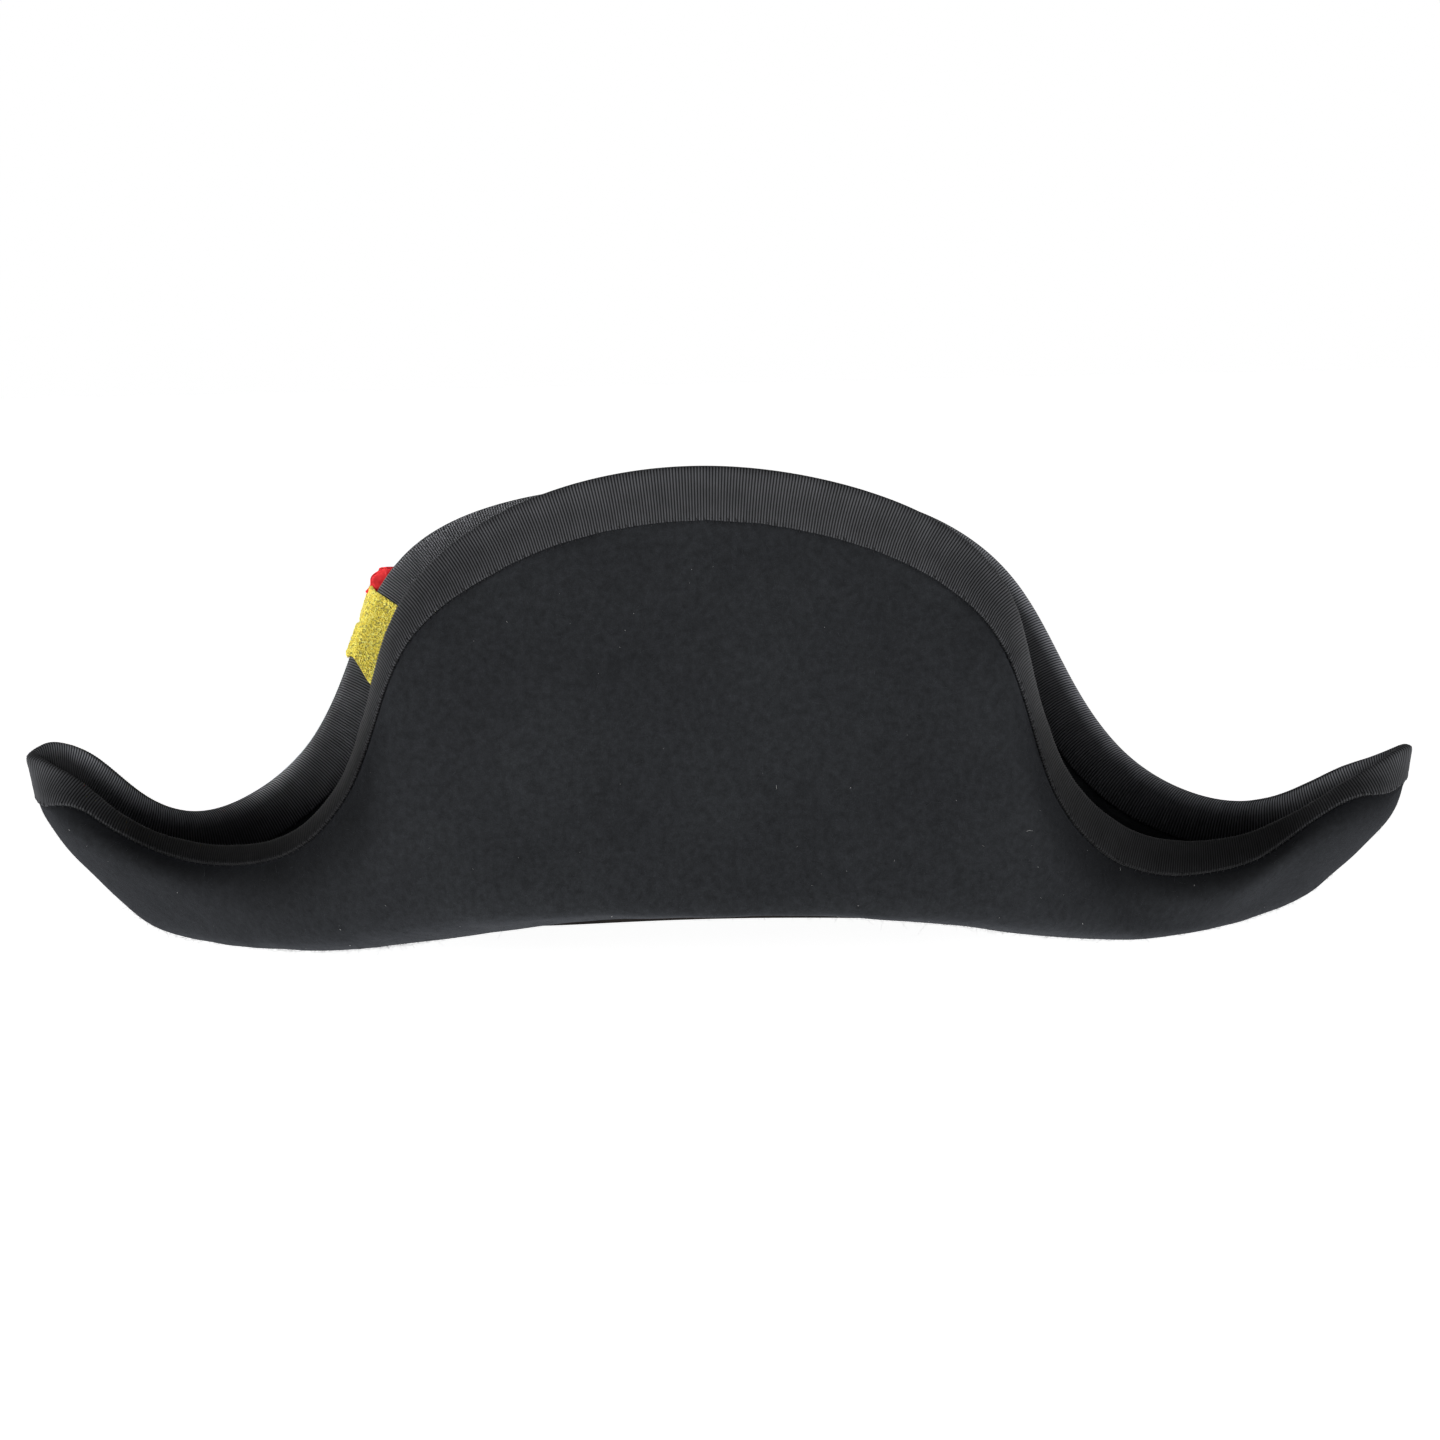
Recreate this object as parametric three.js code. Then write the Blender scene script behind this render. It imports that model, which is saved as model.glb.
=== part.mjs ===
// Black wool felt bicorne hat, worn side to side, with ribbon-bound edge, cockade and gold strap.
// Millimetres, +Z up. The origin lies on the floor under the middle of the hat.
// The front of the hat faces -Y, the taller back flap +Y, and the wearer's left is +X.
import * as THREE from "three";

// Crown and felt
const CROWN_HALF_LENGTH_X = 83.3;
const CROWN_HALF_LENGTH_Y = 101.3;
const CROWN_TOP = 125;
const CROWN_BASE_AT_SIDES = 10;
const CROWN_BASE_AT_ENDS = 20.5;
const FELT_THICKNESS = 2.4;
const SHAVED_EDGE_THICKNESS = 1.4;
const CLEARANCE = 0.3;

// Crown's profile down from its middle: share of the full plan, and drop below the top
const CROWN_PROFILE = [
  { scale: 0.5, drop: 0 },
  { scale: 0.93, drop: 2 },
  { scale: 0.99, drop: 40 },
];
const CROWN_FOOT_HEIGHT = 22;
const CROWN_TUCK = 1.5;

// Height up to which the belly of each lobe is pressed flat, and the middle of the outer box
const RESTING_HEIGHT = 0.8;
const BOX_MIDDLE_X = 1;
const BOX_MIDDLE_Y = -3.1;

// Plan of the low fold that runs all round between the brim's floor and its flaps
const FOLD_REACH_X = 200;
const FOLD_HALF_DEPTH_Y = 114;
const FOLD_REACH_POWER = 3.3;
const FOLD_ROUND_POWER = 1.7;
const CROWN_TO_FOLD_SPREAD = 175;
const BRIM_SHARES = [0.33, 0.7];
const BRIM_SAG = 1;
const BRIM_SAG_MORE_AT_TIPS = 3;

// Flap between the low fold and its last strip
const FLAP_LOW_SHARE = 0.25;
const FLAP_HIGH_SHARE = 0.62;
const FLAP_FULLNESS = 2;

// Bound edge
const LIP_WIDTH = 21;
const LIP_MIDDLE_SHARE = 0.45;
const BINDING_WIDTH = 17;
const BINDING_THICKNESS = 1;
const BINDING_MIDDLE = 9;
const BINDING_SHOULDER = 1.2;

// Sweatband, standing upright against the crown's wall
const SWEATBAND_THICKNESS = 1;
const SWEATBAND_BELOW_BASE = 4.3;
const SWEATBAND_ABOVE_BASE = 28;
const SWEATBAND_TOP_ROW = 2.9;

// Cockade, a flat rosette whose back lies just in front of the front flap's lip
const COCKADE_X = 104;
const COCKADE_Z = 92.3;
const COCKADE_BACK_Y = -109.7;
const COCKADE_RADIUS = 31.2;
const COCKADE_DEPTH = 3.4;
const COCKADE_PRESSED_TO = 27.3;
const COCKADE_PRESSED_DIRECTION = 18.5;
const COCKADE_PLEAT_CREST_DIRECTION = 54;

// Button on the strap's end
const BUTTON_RADIUS = 8;
const BUTTON_HEIGHT = 4.2;
const BUTTON_RIM_HEIGHT = 1;
const BUTTON_BACK_INSET = 0.6;
const BUTTON_SIDES = 24;
const BUTTON_DOME_STEPS = 5;

// Gold strap, laid over the bound edge beside the cockade
const STRAP_FROM_STATION = 39.8;
const STRAP_TO_STATION = 40.8;
const STRAP_THICKNESS = 1.2;
const STRAP_STEP = 0.6;
const STRAP_HALF_WIDTH_AT_BUTTON = 6.5;
const STRAP_OFF_EDGE = 0.5;
const STRAP_OFF_EDGE_MIDDLE = 1.2;
const STRAP_OFF_BINDING = 0.5;
const STRAP_OFF_RIM = 0.4;
const STRAP_PAST_BUTTON_MIDDLE = 4;
const STRAP_SHARES_OVER_COCKADE = [0.35, 0.7, 1];

const COLUMNS_PER_STATION = 2;

// Stations round the brim. fold and rise place the low fold: its distance along X and its height.
// x, y and z are the bound edge. face is the way the flap looks, in degrees from +X,
// and flare is how far the flap's last strip leans out from upright, in degrees.
const STATION_COLUMNS = ["fold", "rise", "x", "y", "z", "face", "flare"];
const STATION_ROWS = [
  // tip at the wearer's left, then along the back flap
  [196, 3.5, 236.4, 0, 64, 0, 20],
  [193, 2.5, 231.7, 5.5, 64.6, 53, 10],
  [188, 0.8, 217.8, 9, 56.9, 86, -60],
  [179, 1.5, 204.3, 12, 42.7, 95, -76],
  [165, 2.2, 183.5, 20, 34.7, 93, -72],
  [149, 3.5, 160.9, 34, 33.6, 90, -77],
  [131, 6.5, 137.4, 57, 39.6, 90, -78],
  [114, 12, 117.6, 75, 63.1, 90, -78],
  [98, 17.5, 109.7, 85, 93.4, 90, -78],
  [81, 20, 101.6, 90, 121.1, 90, -61],
  [61, 22, 75.5, 98, 144.7, 90, -22],
  [32, 22, 40.1, 103, 157.9, 90, -5],
  [0, 21.5, 0, 104, 161.5, 90, 0],
  [-32, 20.5, -42.1, 103, 153.9, 90, -5],
  [-61, 18.5, -76.5, 98, 138.7, 90, -15],
  [-81, 16, -93.6, 91, 117.1, 90, -55],
  [-97, 12.5, -98.1, 85, 87.3, 90, -78],
  [-113, 8.5, -108, 74, 55.9, 90, -64],
  [-130, 4.5, -130.7, 57, 35, 90, -47],
  [-147, 1.5, -153.9, 38, 29.3, 90, -57],
  [-163, 0.5, -177.3, 24, 30.1, 88, -68],
  [-178, 1, -196.1, 15, 38, 84, -77],
  [-188, 2.5, -213, 10, 47.4, 88, -69],
  [-193, 4.5, -227.2, 5.5, 57.1, 124, 4],
  // tip at the wearer's right, then along the front flap
  [-196, 5.5, -234.5, 0, 58.5, 180, 22],
  [-193, 4.5, -226.8, -5.5, 56.4, 236, 14],
  [-188, 2.2, -212, -10, 48, 262, -30],
  [-178, 0.8, -195.8, -15, 38.5, 270, -28],
  [-163, 0.6, -178.1, -27, 34, 270, -14],
  [-147, 1.6, -158.8, -42, 38.6, 270, -6],
  [-131, 5, -140.3, -60, 50.7, 270, -2],
  [-115, 10, -126.7, -80, 72.2, 270, 0],
  [-100, 13, -116.3, -92, 97, 270, 0],
  [-83, 15.5, -102.4, -98, 118.9, 270, -2],
  [-62, 18.5, -76.8, -102, 136.6, 270, -4],
  [-32, 20.5, -42, -104, 146, 270, -3],
  [0, 21.5, 0, -104, 149, 270, 0],
  [32, 22, 44, -104.5, 148.5, 270, 0],
  [62, 21, 82, -105, 143, 270, 0],
  [86, 18.5, 111.8, -105.5, 130, 270, 3],
  [103, 16, 128.3, -105, 106.6, 271, 3],
  [116, 12, 135.5, -99, 83.6, 273, -2],
  [131, 7, 146.6, -82, 57.5, 272, -6],
  [148, 3.2, 164.5, -58, 42.8, 270, -8],
  [165, 1.2, 182, -36, 36.6, 270, -14],
  [180, 1.6, 200, -19, 43.7, 270, -28],
  [188, 2.5, 214.3, -10, 61, 278, -30],
  [193, 3.5, 227.3, -5.5, 70.4, 304, 14],
];
const STATIONS = STATION_ROWS.map((row) =>
  Object.fromEntries(STATION_COLUMNS.map((name, k) => [name, row[k]])));
const LEFT_TIP = 0;
const RIGHT_TIP = 24;

// Rows down the felt, from the crown's middle (0) to the edge (11), above the bound strip
const FELT_ROWS = [0.7, 1.5, 2.3, 3.2, 3.75, 4.15, 4.6, 5.3, 6.1, 6.7, 7.2, 7.7, 8.2, 8.9, 9.6];

const MATERIALS = {
  felt: material(0x292a2e, 0.95, 0),
  ribbon: material(0x3a3b3f, 0.8, 0),
  leather: material(0x1a1614, 0.6, 0),
  lame: material(0xc9b23a, 0.45, 0.5),
  red: material(0xb3202c, 0.8, 0),
  white: material(0xe6e4dd, 0.8, 0),
  blue: material(0x22408a, 0.8, 0),
  brass: material(0xb8963c, 0.35, 0.9),
};

function material(color, roughness, metalness) {
  return new THREE.MeshStandardMaterial({ color, roughness, metalness });
}

function radians(degrees) {
  return THREE.MathUtils.degToRad(degrees);
}

function vector(x, y, z) {
  return new THREE.Vector3(x, y, z);
}

// The surface half way through the felt

function foldHalfDepth(x) {
  const inside = Math.max(0, 1 - (Math.abs(x) / FOLD_REACH_X) ** FOLD_REACH_POWER);
  return FOLD_HALF_DEPTH_Y * inside ** FOLD_ROUND_POWER;
}

function foldPoint(index) {
  const { fold, rise } = STATIONS[index];
  if (index === LEFT_TIP || index === RIGHT_TIP) return vector(fold, 0, rise);
  const side = index < RIGHT_TIP ? 1 : -1;
  return vector(fold, side * foldHalfDepth(fold), rise);
}

function crownBaseHeight(sinTheta) {
  return CROWN_BASE_AT_SIDES + (CROWN_BASE_AT_ENDS - CROWN_BASE_AT_SIDES) * sinTheta ** 2;
}

// Control points of one rib, from the crown's middle out over the brim to the bound edge
function ribControls(index) {
  const count = STATIONS.length;
  const { x, y, z, face, flare } = STATIONS[index];
  const next = STATIONS[(index + 1) % count];
  const last = STATIONS[(index + count - 1) % count];
  const fold = foldPoint(index);
  const theta = Math.atan2(fold.y / FOLD_HALF_DEPTH_Y, fold.x / CROWN_TO_FOLD_SPREAD);
  const c = Math.cos(theta);
  const s = Math.sin(theta);
  const baseZ = crownBaseHeight(s);
  const ring = vector(CROWN_HALF_LENGTH_X * c, CROWN_HALF_LENGTH_Y * s, 0);
  const crown = (scale, height) => ring.clone().multiplyScalar(scale).setZ(height);

  const out = vector(Math.cos(radians(face)), Math.sin(radians(face)), 0);
  const along = vector(next.x - last.x, next.y - last.y, next.z - last.z);
  along.addScaledVector(out, -along.dot(out)).normalize();
  const up = out.clone().cross(along);
  const lean = up.multiplyScalar(Math.cos(radians(flare)));
  lean.addScaledVector(out, Math.sin(radians(flare)));
  const edge = vector(x, y, z);
  const lip = edge.clone().addScaledVector(lean, -LIP_WIDTH);

  const base = crown(1, baseZ);
  const sag = vector(0, 0, -BRIM_SAG - BRIM_SAG_MORE_AT_TIPS * c ** 2);
  return [
    vector(0, 0, CROWN_TOP),
    ...CROWN_PROFILE.map(({ scale, drop }) => crown(scale, CROWN_TOP - drop)),
    crown(1, baseZ + CROWN_FOOT_HEIGHT),
    crown(1, baseZ - CROWN_TUCK),
    ...BRIM_SHARES.map((share) => base.clone().lerp(fold, share).add(sag)),
    fold,
    fold.clone().lerp(lip, FLAP_LOW_SHARE),
    fold.clone().lerp(lip, FLAP_HIGH_SHARE).addScaledVector(out, FLAP_FULLNESS),
    lip,
    edge.clone().addScaledVector(lean, -LIP_MIDDLE_SHARE * LIP_WIDTH),
    edge,
  ];
}

const RIBS = STATIONS.map((station, index) => ribControls(index));
const LAST_ROW = RIBS[0].length - 3;

// Cubic B-spline weights round the hat, where the stations close on themselves
function roundWeights(f) {
  return [
    (1 - f) ** 3 / 6,
    (3 * f ** 3 - 6 * f ** 2 + 4) / 6,
    (-3 * f ** 3 + 3 * f ** 2 + 3 * f + 1) / 6,
    f ** 3 / 6,
  ];
}

// Cubic B-spline weights down a rib, where the knots are clamped at both ends
function ribWeights(t) {
  const degree = 3;
  const knot = (k) => THREE.MathUtils.clamp(k - degree, 0, LAST_ROW);
  const span = Math.min(Math.floor(t), LAST_ROW - 1);
  const weights = [1];
  for (let j = 1; j <= degree; j += 1) {
    let saved = 0;
    for (let r = 0; r < j; r += 1) {
      const right = knot(span + degree + r + 1) - t;
      const left = t - knot(span + degree + 1 - j + r);
      const share = weights[r] / (right + left);
      weights[r] = saved + right * share;
      saved = left * share;
    }
    weights[j] = saved;
  }
  return { span, weights };
}

function feltPoint(u, t) {
  const station = Math.floor(u);
  const round = roundWeights(u - station);
  const { span, weights } = ribWeights(THREE.MathUtils.clamp(t, 0, LAST_ROW));
  const point = vector(0, 0, 0);
  round.forEach((a, i) => {
    const rib = RIBS[(station - 1 + i + RIBS.length) % RIBS.length];
    weights.forEach((b, j) => point.addScaledVector(rib[span + j], a * b));
  });
  return point;
}

// Unit normal on the side that faces the onlooker on the flaps, the floor below, and the head inside
function feltNormal(u, t) {
  const step = 0.01;
  const high = Math.min(t + step, LAST_ROW);
  const low = Math.max(t - step, 2 * step);
  const around = feltPoint(u + step, t).sub(feltPoint(u - step, t));
  const down = feltPoint(u, high).sub(feltPoint(u, low));
  return around.cross(down).normalize();
}

// Row at a given distance in from the bound edge, measured over the felt
function rowAtDistance(u, distance) {
  const step = 0.02;
  let row = LAST_ROW;
  let walked = 0;
  let here = feltPoint(u, row);
  while (row > 0) {
    const there = feltPoint(u, row - step);
    const stride = here.distanceTo(there);
    if (walked + stride >= distance) return row - (step * (distance - walked)) / stride;
    walked += stride;
    row -= step;
    here = there;
  }
  return 0;
}

// Point off the felt's middle: positive offsets lie on the outer side, negative on the inner
function offFelt(u, t, offset) {
  return feltPoint(u, t).addScaledVector(feltNormal(u, t), offset);
}

// Mesh builders: a closed body from rows of points, with its faces turned outward

function signedVolume(points, faces) {
  return faces.reduce((sum, [a, b, c]) =>
    sum + points[a].dot(points[b].clone().cross(points[c])) / 6, 0);
}

function body(name, look, points, faces) {
  const outward = signedVolume(points, faces) > 0 ? faces : faces.map(([a, b, c]) => [a, c, b]);
  const geometry = new THREE.BufferGeometry();
  geometry.setAttribute("position",
    new THREE.Float32BufferAttribute(points.flatMap((p) => p.toArray()), 3));
  geometry.setIndex(outward.flat());
  geometry.computeVertexNormals();
  const mesh = new THREE.Mesh(geometry, look);
  mesh.name = name;
  return mesh;
}

function quad(a, b, c, d, flip = false) {
  return flip ? [[a, b, d], [b, c, d]] : [[a, b, c], [a, c, d]];
}

// Profiles standing side by side in a closed round, each a closed loop of points
function ringBody(name, look, loops, flipped = () => false) {
  const size = loops[0].length;
  const at = (i, k) => (i % loops.length) * size + (k % size);
  const faces = loops.flatMap((loop, i) => loop.flatMap((point, k) =>
    quad(at(i, k), at(i + 1, k), at(i + 1, k + 1), at(i, k + 1), flipped(k))));
  return body(name, look, loops.flat(), faces);
}

// Profiles standing side by side in a closed round, all starting and ending at shared poles
function domeBody(name, look, profiles, startPole, endPole) {
  const size = profiles[0].length;
  const at = (i, k) => (i % profiles.length) * size + k;
  const start = profiles.length * size;
  const faces = profiles.flatMap((profile, i) => [
    [start, at(i + 1, 0), at(i, 0)],
    ...profile.slice(1).flatMap((point, k) =>
      quad(at(i, k), at(i + 1, k), at(i + 1, k + 1), at(i, k + 1))),
    [start + 1, at(i, size - 1), at(i + 1, size - 1)],
  ]);
  return body(name, look, [...profiles.flat(), startPole, endPole], faces);
}

// A plate between two equal sheets of points, closed round its rim
function plateBody(name, look, under, over) {
  const rows = under.length;
  const columns = under[0].length;
  const low = (i, j) => i * columns + j;
  const high = (i, j) => rows * columns + low(i, j);
  const faces = [];
  for (let i = 0; i + 1 < rows; i += 1) {
    for (let j = 0; j + 1 < columns; j += 1) {
      faces.push(...quad(high(i, j), high(i + 1, j), high(i + 1, j + 1), high(i, j + 1)));
      faces.push(...quad(low(i, j), low(i, j + 1), low(i + 1, j + 1), low(i + 1, j), true));
    }
    const end = columns - 1;
    faces.push(...quad(low(i, 0), low(i + 1, 0), high(i + 1, 0), high(i, 0)));
    faces.push(...quad(low(i + 1, end), low(i, end), high(i, end), high(i + 1, end)));
  }
  for (let j = 0; j + 1 < columns; j += 1) {
    const end = rows - 1;
    faces.push(...quad(low(0, j + 1), low(0, j), high(0, j), high(0, j + 1)));
    faces.push(...quad(low(end, j), low(end, j + 1), high(end, j + 1), high(end, j)));
  }
  return body(name, look, [...under.flat(), ...over.flat()], faces);
}

// Pieces

const COLUMNS = Array.from({ length: STATIONS.length * COLUMNS_PER_STATION },
  (unused, k) => k / COLUMNS_PER_STATION);

// Raises a point to the level on which the hat rests, which flattens the belly there
function raised(point, above) {
  return point.setZ(Math.max(point.z, RESTING_HEIGHT + above));
}

function feltBody() {
  const half = FELT_THICKNESS / 2;
  const shaved = SHAVED_EDGE_THICKNESS / 2;
  const profiles = COLUMNS.map((u) => {
    const rows = FELT_ROWS.map((t) => ({ t, half }));
    for (const distance of [BINDING_WIDTH, BINDING_MIDDLE, BINDING_SHOULDER]) {
      rows.push({ t: rowAtDistance(u, distance), half: shaved });
    }
    const outer = rows.map((row) => raised(offFelt(u, row.t, row.half), 0));
    const inner = rows.map((row) => raised(offFelt(u, row.t, -row.half), FELT_THICKNESS));
    return [...outer, ...inner.reverse()];
  });
  const topOuter = vector(0, 0, CROWN_TOP + half);
  const topInner = vector(0, 0, CROWN_TOP - half);
  const crownIsAbove = feltNormal(0, FELT_ROWS[0]).z > 0;
  const poles = crownIsAbove ? [topOuter, topInner] : [topInner, topOuter];
  return domeBody("felt_body", MATERIALS.felt, profiles, ...poles);
}

// Ribbon folded over the whole edge, seen from both sides
function edgeBinding() {
  const inside = SHAVED_EDGE_THICKNESS / 2 + CLEARANCE;
  const outside = inside + BINDING_THICKNESS;
  const section = [
    [BINDING_WIDTH, outside],
    [BINDING_MIDDLE, outside],
    [BINDING_SHOULDER, outside],
    [0, inside],
    [0, -inside],
    [BINDING_SHOULDER, -outside],
    [BINDING_MIDDLE, -outside],
    [BINDING_WIDTH, -outside],
    [BINDING_WIDTH, -inside],
    [BINDING_MIDDLE, -inside],
    [BINDING_SHOULDER - CLEARANCE, -inside],
    [BINDING_SHOULDER - CLEARANCE, inside],
    [BINDING_MIDDLE, inside],
    [BINDING_WIDTH, inside],
  ];
  const firstHidden = 8;
  const loops = COLUMNS.map((u) =>
    section.map(([distance, offset]) => offFelt(u, rowAtDistance(u, distance), offset)));
  return ringBody("edge_binding", MATERIALS.ribbon, loops, (k) => k >= firstHidden);
}

// Leather band stitched round the inside of the head opening
function sweatband() {
  const backOffset = FELT_THICKNESS / 2 + 2 * CLEARANCE;
  const loops = STATIONS.map((station, u) => {
    const back = offFelt(u, SWEATBAND_TOP_ROW, backOffset);
    const face = offFelt(u, SWEATBAND_TOP_ROW, backOffset + SWEATBAND_THICKNESS);
    const base = crownBaseHeight(back.y / CROWN_HALF_LENGTH_Y);
    return [
      back.clone().setZ(base - SWEATBAND_BELOW_BASE),
      back.clone().setZ(base + SWEATBAND_ABOVE_BASE),
      face.clone().setZ(base + SWEATBAND_ABOVE_BASE),
      face.clone().setZ(base - SWEATBAND_BELOW_BASE),
    ];
  });
  return ringBody("sweatband", MATERIALS.leather, loops);
}

// Cockade: three pleated rings on one plane. Angles run from +X towards +Z, radii from the centre.
const PLEATED_RING_COLUMNS = ["name", "look", "inner", "outer", "pleats", "scallop", "depth"];
const PLEATED_RING_ROWS = [
  ["cockade_red", "red", 21.3, COCKADE_RADIUS, 21, 1.5, 2.6],
  ["cockade_white", "white", 11.3, 21, 18, 0, 3],
  ["cockade_blue", "blue", 0, 11, 12, 0, COCKADE_DEPTH],
];
const PLEATED_RINGS = PLEATED_RING_ROWS.map((row) =>
  Object.fromEntries(PLEATED_RING_COLUMNS.map((name, k) => [name, row[k]])));
const PLEAT_STEPS = 4;
const PLEAT_HEIGHT = 0.6;
const COCKADE_FRONT_Y = COCKADE_BACK_Y - COCKADE_DEPTH - PLEAT_HEIGHT;

function cockadePoint(angle, radius, y) {
  return vector(COCKADE_X + radius * Math.cos(angle), y, COCKADE_Z + radius * Math.sin(angle));
}

// Rim of the cockade, pressed straight where the strap is drawn over it
function rimRadius(angle, ring) {
  const crest = radians(COCKADE_PLEAT_CREST_DIRECTION);
  const free = ring.outer + ring.scallop * Math.cos(ring.pleats * (angle - crest));
  const turned = Math.cos(angle - radians(COCKADE_PRESSED_DIRECTION));
  return turned > 0 ? Math.min(free, COCKADE_PRESSED_TO / turned) : free;
}

function pleatedRing(ring) {
  const count = ring.pleats * PLEAT_STEPS;
  const crest = radians(COCKADE_PLEAT_CREST_DIRECTION);
  const loops = Array.from({ length: count }, (unused, k) => {
    const angle = crest + (2 * Math.PI * k) / count;
    const wave = PLEAT_HEIGHT * Math.cos(ring.pleats * (angle - crest));
    const front = COCKADE_BACK_Y - ring.depth - wave;
    const rim = rimRadius(angle, ring);
    const outline = [cockadePoint(angle, rim, COCKADE_BACK_Y), cockadePoint(angle, rim, front)];
    if (ring.inner === 0) return outline;
    return [
      ...outline,
      cockadePoint(angle, ring.inner, front),
      cockadePoint(angle, ring.inner, COCKADE_BACK_Y),
    ];
  });
  if (ring.inner > 0) return ringBody(ring.name, MATERIALS[ring.look], loops);
  const back = cockadePoint(0, 0, COCKADE_BACK_Y);
  const front = cockadePoint(0, 0, COCKADE_BACK_Y - ring.depth);
  return domeBody(ring.name, MATERIALS[ring.look], loops, back, front);
}

// Strap of two strands side by side, the lower one a little proud of the other
const STRAP_ACROSS = [
  { share: 0, rise: 0 },
  { share: 0.24, rise: 0 },
  { share: 0.48, rise: 0 },
  { share: 0.52, rise: STRAP_STEP },
  { share: 0.76, rise: STRAP_STEP },
  { share: 1, rise: STRAP_STEP },
];
// Inside the hat the strap runs down the front flap and narrows towards its sewn end
const STRAP_INSIDE = [
  { distance: 44, width: 0.4 },
  { distance: 36, width: 0.55 },
  { distance: 28, width: 0.72 },
  { distance: 21, width: 0.88 },
  { distance: BINDING_WIDTH, width: 0.96 },
  { distance: 12, width: 1 },
  { distance: BINDING_MIDDLE, width: 1 },
  { distance: 5, width: 1 },
  { distance: BINDING_SHOULDER, width: 1 },
];

// One line along the strap at a share of its width: where it lies, and the way its top faces
function strapLine(share) {
  const middle = (STRAP_FROM_STATION + STRAP_TO_STATION) / 2;
  const station = (width) =>
    middle + (share - 0.5) * width * (STRAP_TO_STATION - STRAP_FROM_STATION);
  const overBinding = SHAVED_EDGE_THICKNESS / 2 + CLEARANCE + BINDING_THICKNESS + STRAP_OFF_BINDING;
  const inside = STRAP_INSIDE.map(({ distance, width }) => {
    const u = station(width);
    const t = rowAtDistance(u, distance);
    return { at: offFelt(u, t, -overBinding), facing: feltNormal(u, t).negate() };
  });

  const u = station(1);
  const edge = feltPoint(u, LAST_ROW);
  const justInside = LAST_ROW - 0.1;
  const outward = edge.clone().sub(feltPoint(u, justInside)).normalize();
  const across = feltNormal(u, LAST_ROW);
  const tip = edge.clone().addScaledVector(outward, STRAP_OFF_EDGE);
  const overEdge = [-1, 1].map((side) => ({
    at: tip.clone().addScaledVector(across, side * STRAP_OFF_EDGE_MIDDLE),
    facing: outward.clone().addScaledVector(across, side).normalize(),
  }));

  const angle = Math.atan2(edge.z - COCKADE_Z, edge.x - COCKADE_X);
  const direction = radians(COCKADE_PRESSED_DIRECTION);
  const pressed = COCKADE_PRESSED_TO / Math.cos(angle - direction);
  const reach = Math.hypot(edge.x - COCKADE_X, edge.z - COCKADE_Z);
  const rim = Math.max(pressed, reach) + STRAP_OFF_RIM;
  const rimFacing = vector(Math.cos(angle), 0, Math.sin(angle));
  const frontY = COCKADE_FRONT_Y - CLEARANCE;
  const corner = rimFacing.clone().add(vector(0, -1, 0)).normalize();
  const overRim = [
    { at: cockadePoint(angle, rim, COCKADE_BACK_Y), facing: rimFacing },
    { at: cockadePoint(angle, rim, frontY), facing: corner },
  ];

  const sideways = (0.5 - share) * 2 * STRAP_HALF_WIDTH_AT_BUTTON;
  const end = vector(
    COCKADE_X - Math.sin(direction) * sideways - Math.cos(direction) * STRAP_PAST_BUTTON_MIDDLE,
    frontY,
    COCKADE_Z + Math.cos(direction) * sideways - Math.sin(direction) * STRAP_PAST_BUTTON_MIDDLE,
  );
  const start = cockadePoint(angle, rim, frontY);
  const front = vector(0, -1, 0);
  const onFront = STRAP_SHARES_OVER_COCKADE.map((along) =>
    ({ at: start.clone().lerp(end, along), facing: front }));
  return [...inside, ...overEdge, ...overRim, ...onFront];
}

function goldStrap() {
  const lines = STRAP_ACROSS.map(({ share, rise }) => ({ rise, line: strapLine(share) }));
  const under = lines.map(({ line }) => line.map((station) => station.at));
  const over = lines.map(({ line, rise }) => line.map((station) =>
    station.at.clone().addScaledVector(station.facing, STRAP_THICKNESS + rise)));
  return plateBody("gold_strap", MATERIALS.lame, under, over);
}

// Domed button that holds the strap's end on the cockade
function cockadeButton() {
  const seat = COCKADE_FRONT_Y - STRAP_THICKNESS - STRAP_STEP - 2 * CLEARANCE;
  const profile = [new THREE.Vector2(0, 0), new THREE.Vector2(BUTTON_RADIUS - BUTTON_BACK_INSET, 0)];
  for (let k = 0; k <= BUTTON_DOME_STEPS; k += 1) {
    const angle = (Math.PI / 2) * (k / BUTTON_DOME_STEPS);
    profile.push(new THREE.Vector2(
      k === BUTTON_DOME_STEPS ? 0 : BUTTON_RADIUS * Math.cos(angle),
      BUTTON_RIM_HEIGHT + (BUTTON_HEIGHT - BUTTON_RIM_HEIGHT) * Math.sin(angle),
    ));
  }
  const mesh = new THREE.Mesh(new THREE.LatheGeometry(profile, BUTTON_SIDES), MATERIALS.brass);
  mesh.name = "cockade_button";
  mesh.position.set(COCKADE_X, seat, COCKADE_Z);
  mesh.rotation.x = Math.PI;
  return mesh;
}

const hat = new THREE.Group();
hat.add(feltBody());
hat.add(edgeBinding());
hat.add(sweatband());
PLEATED_RINGS.forEach((ring) => hat.add(pleatedRing(ring)));
hat.add(goldStrap());
hat.add(cockadeButton());
hat.position.set(-BOX_MIDDLE_X, -BOX_MIDDLE_Y, -RESTING_HEIGHT);

export default hat;
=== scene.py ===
import math

import bpy
import numpy as np
from mathutils import Matrix, Vector


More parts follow.
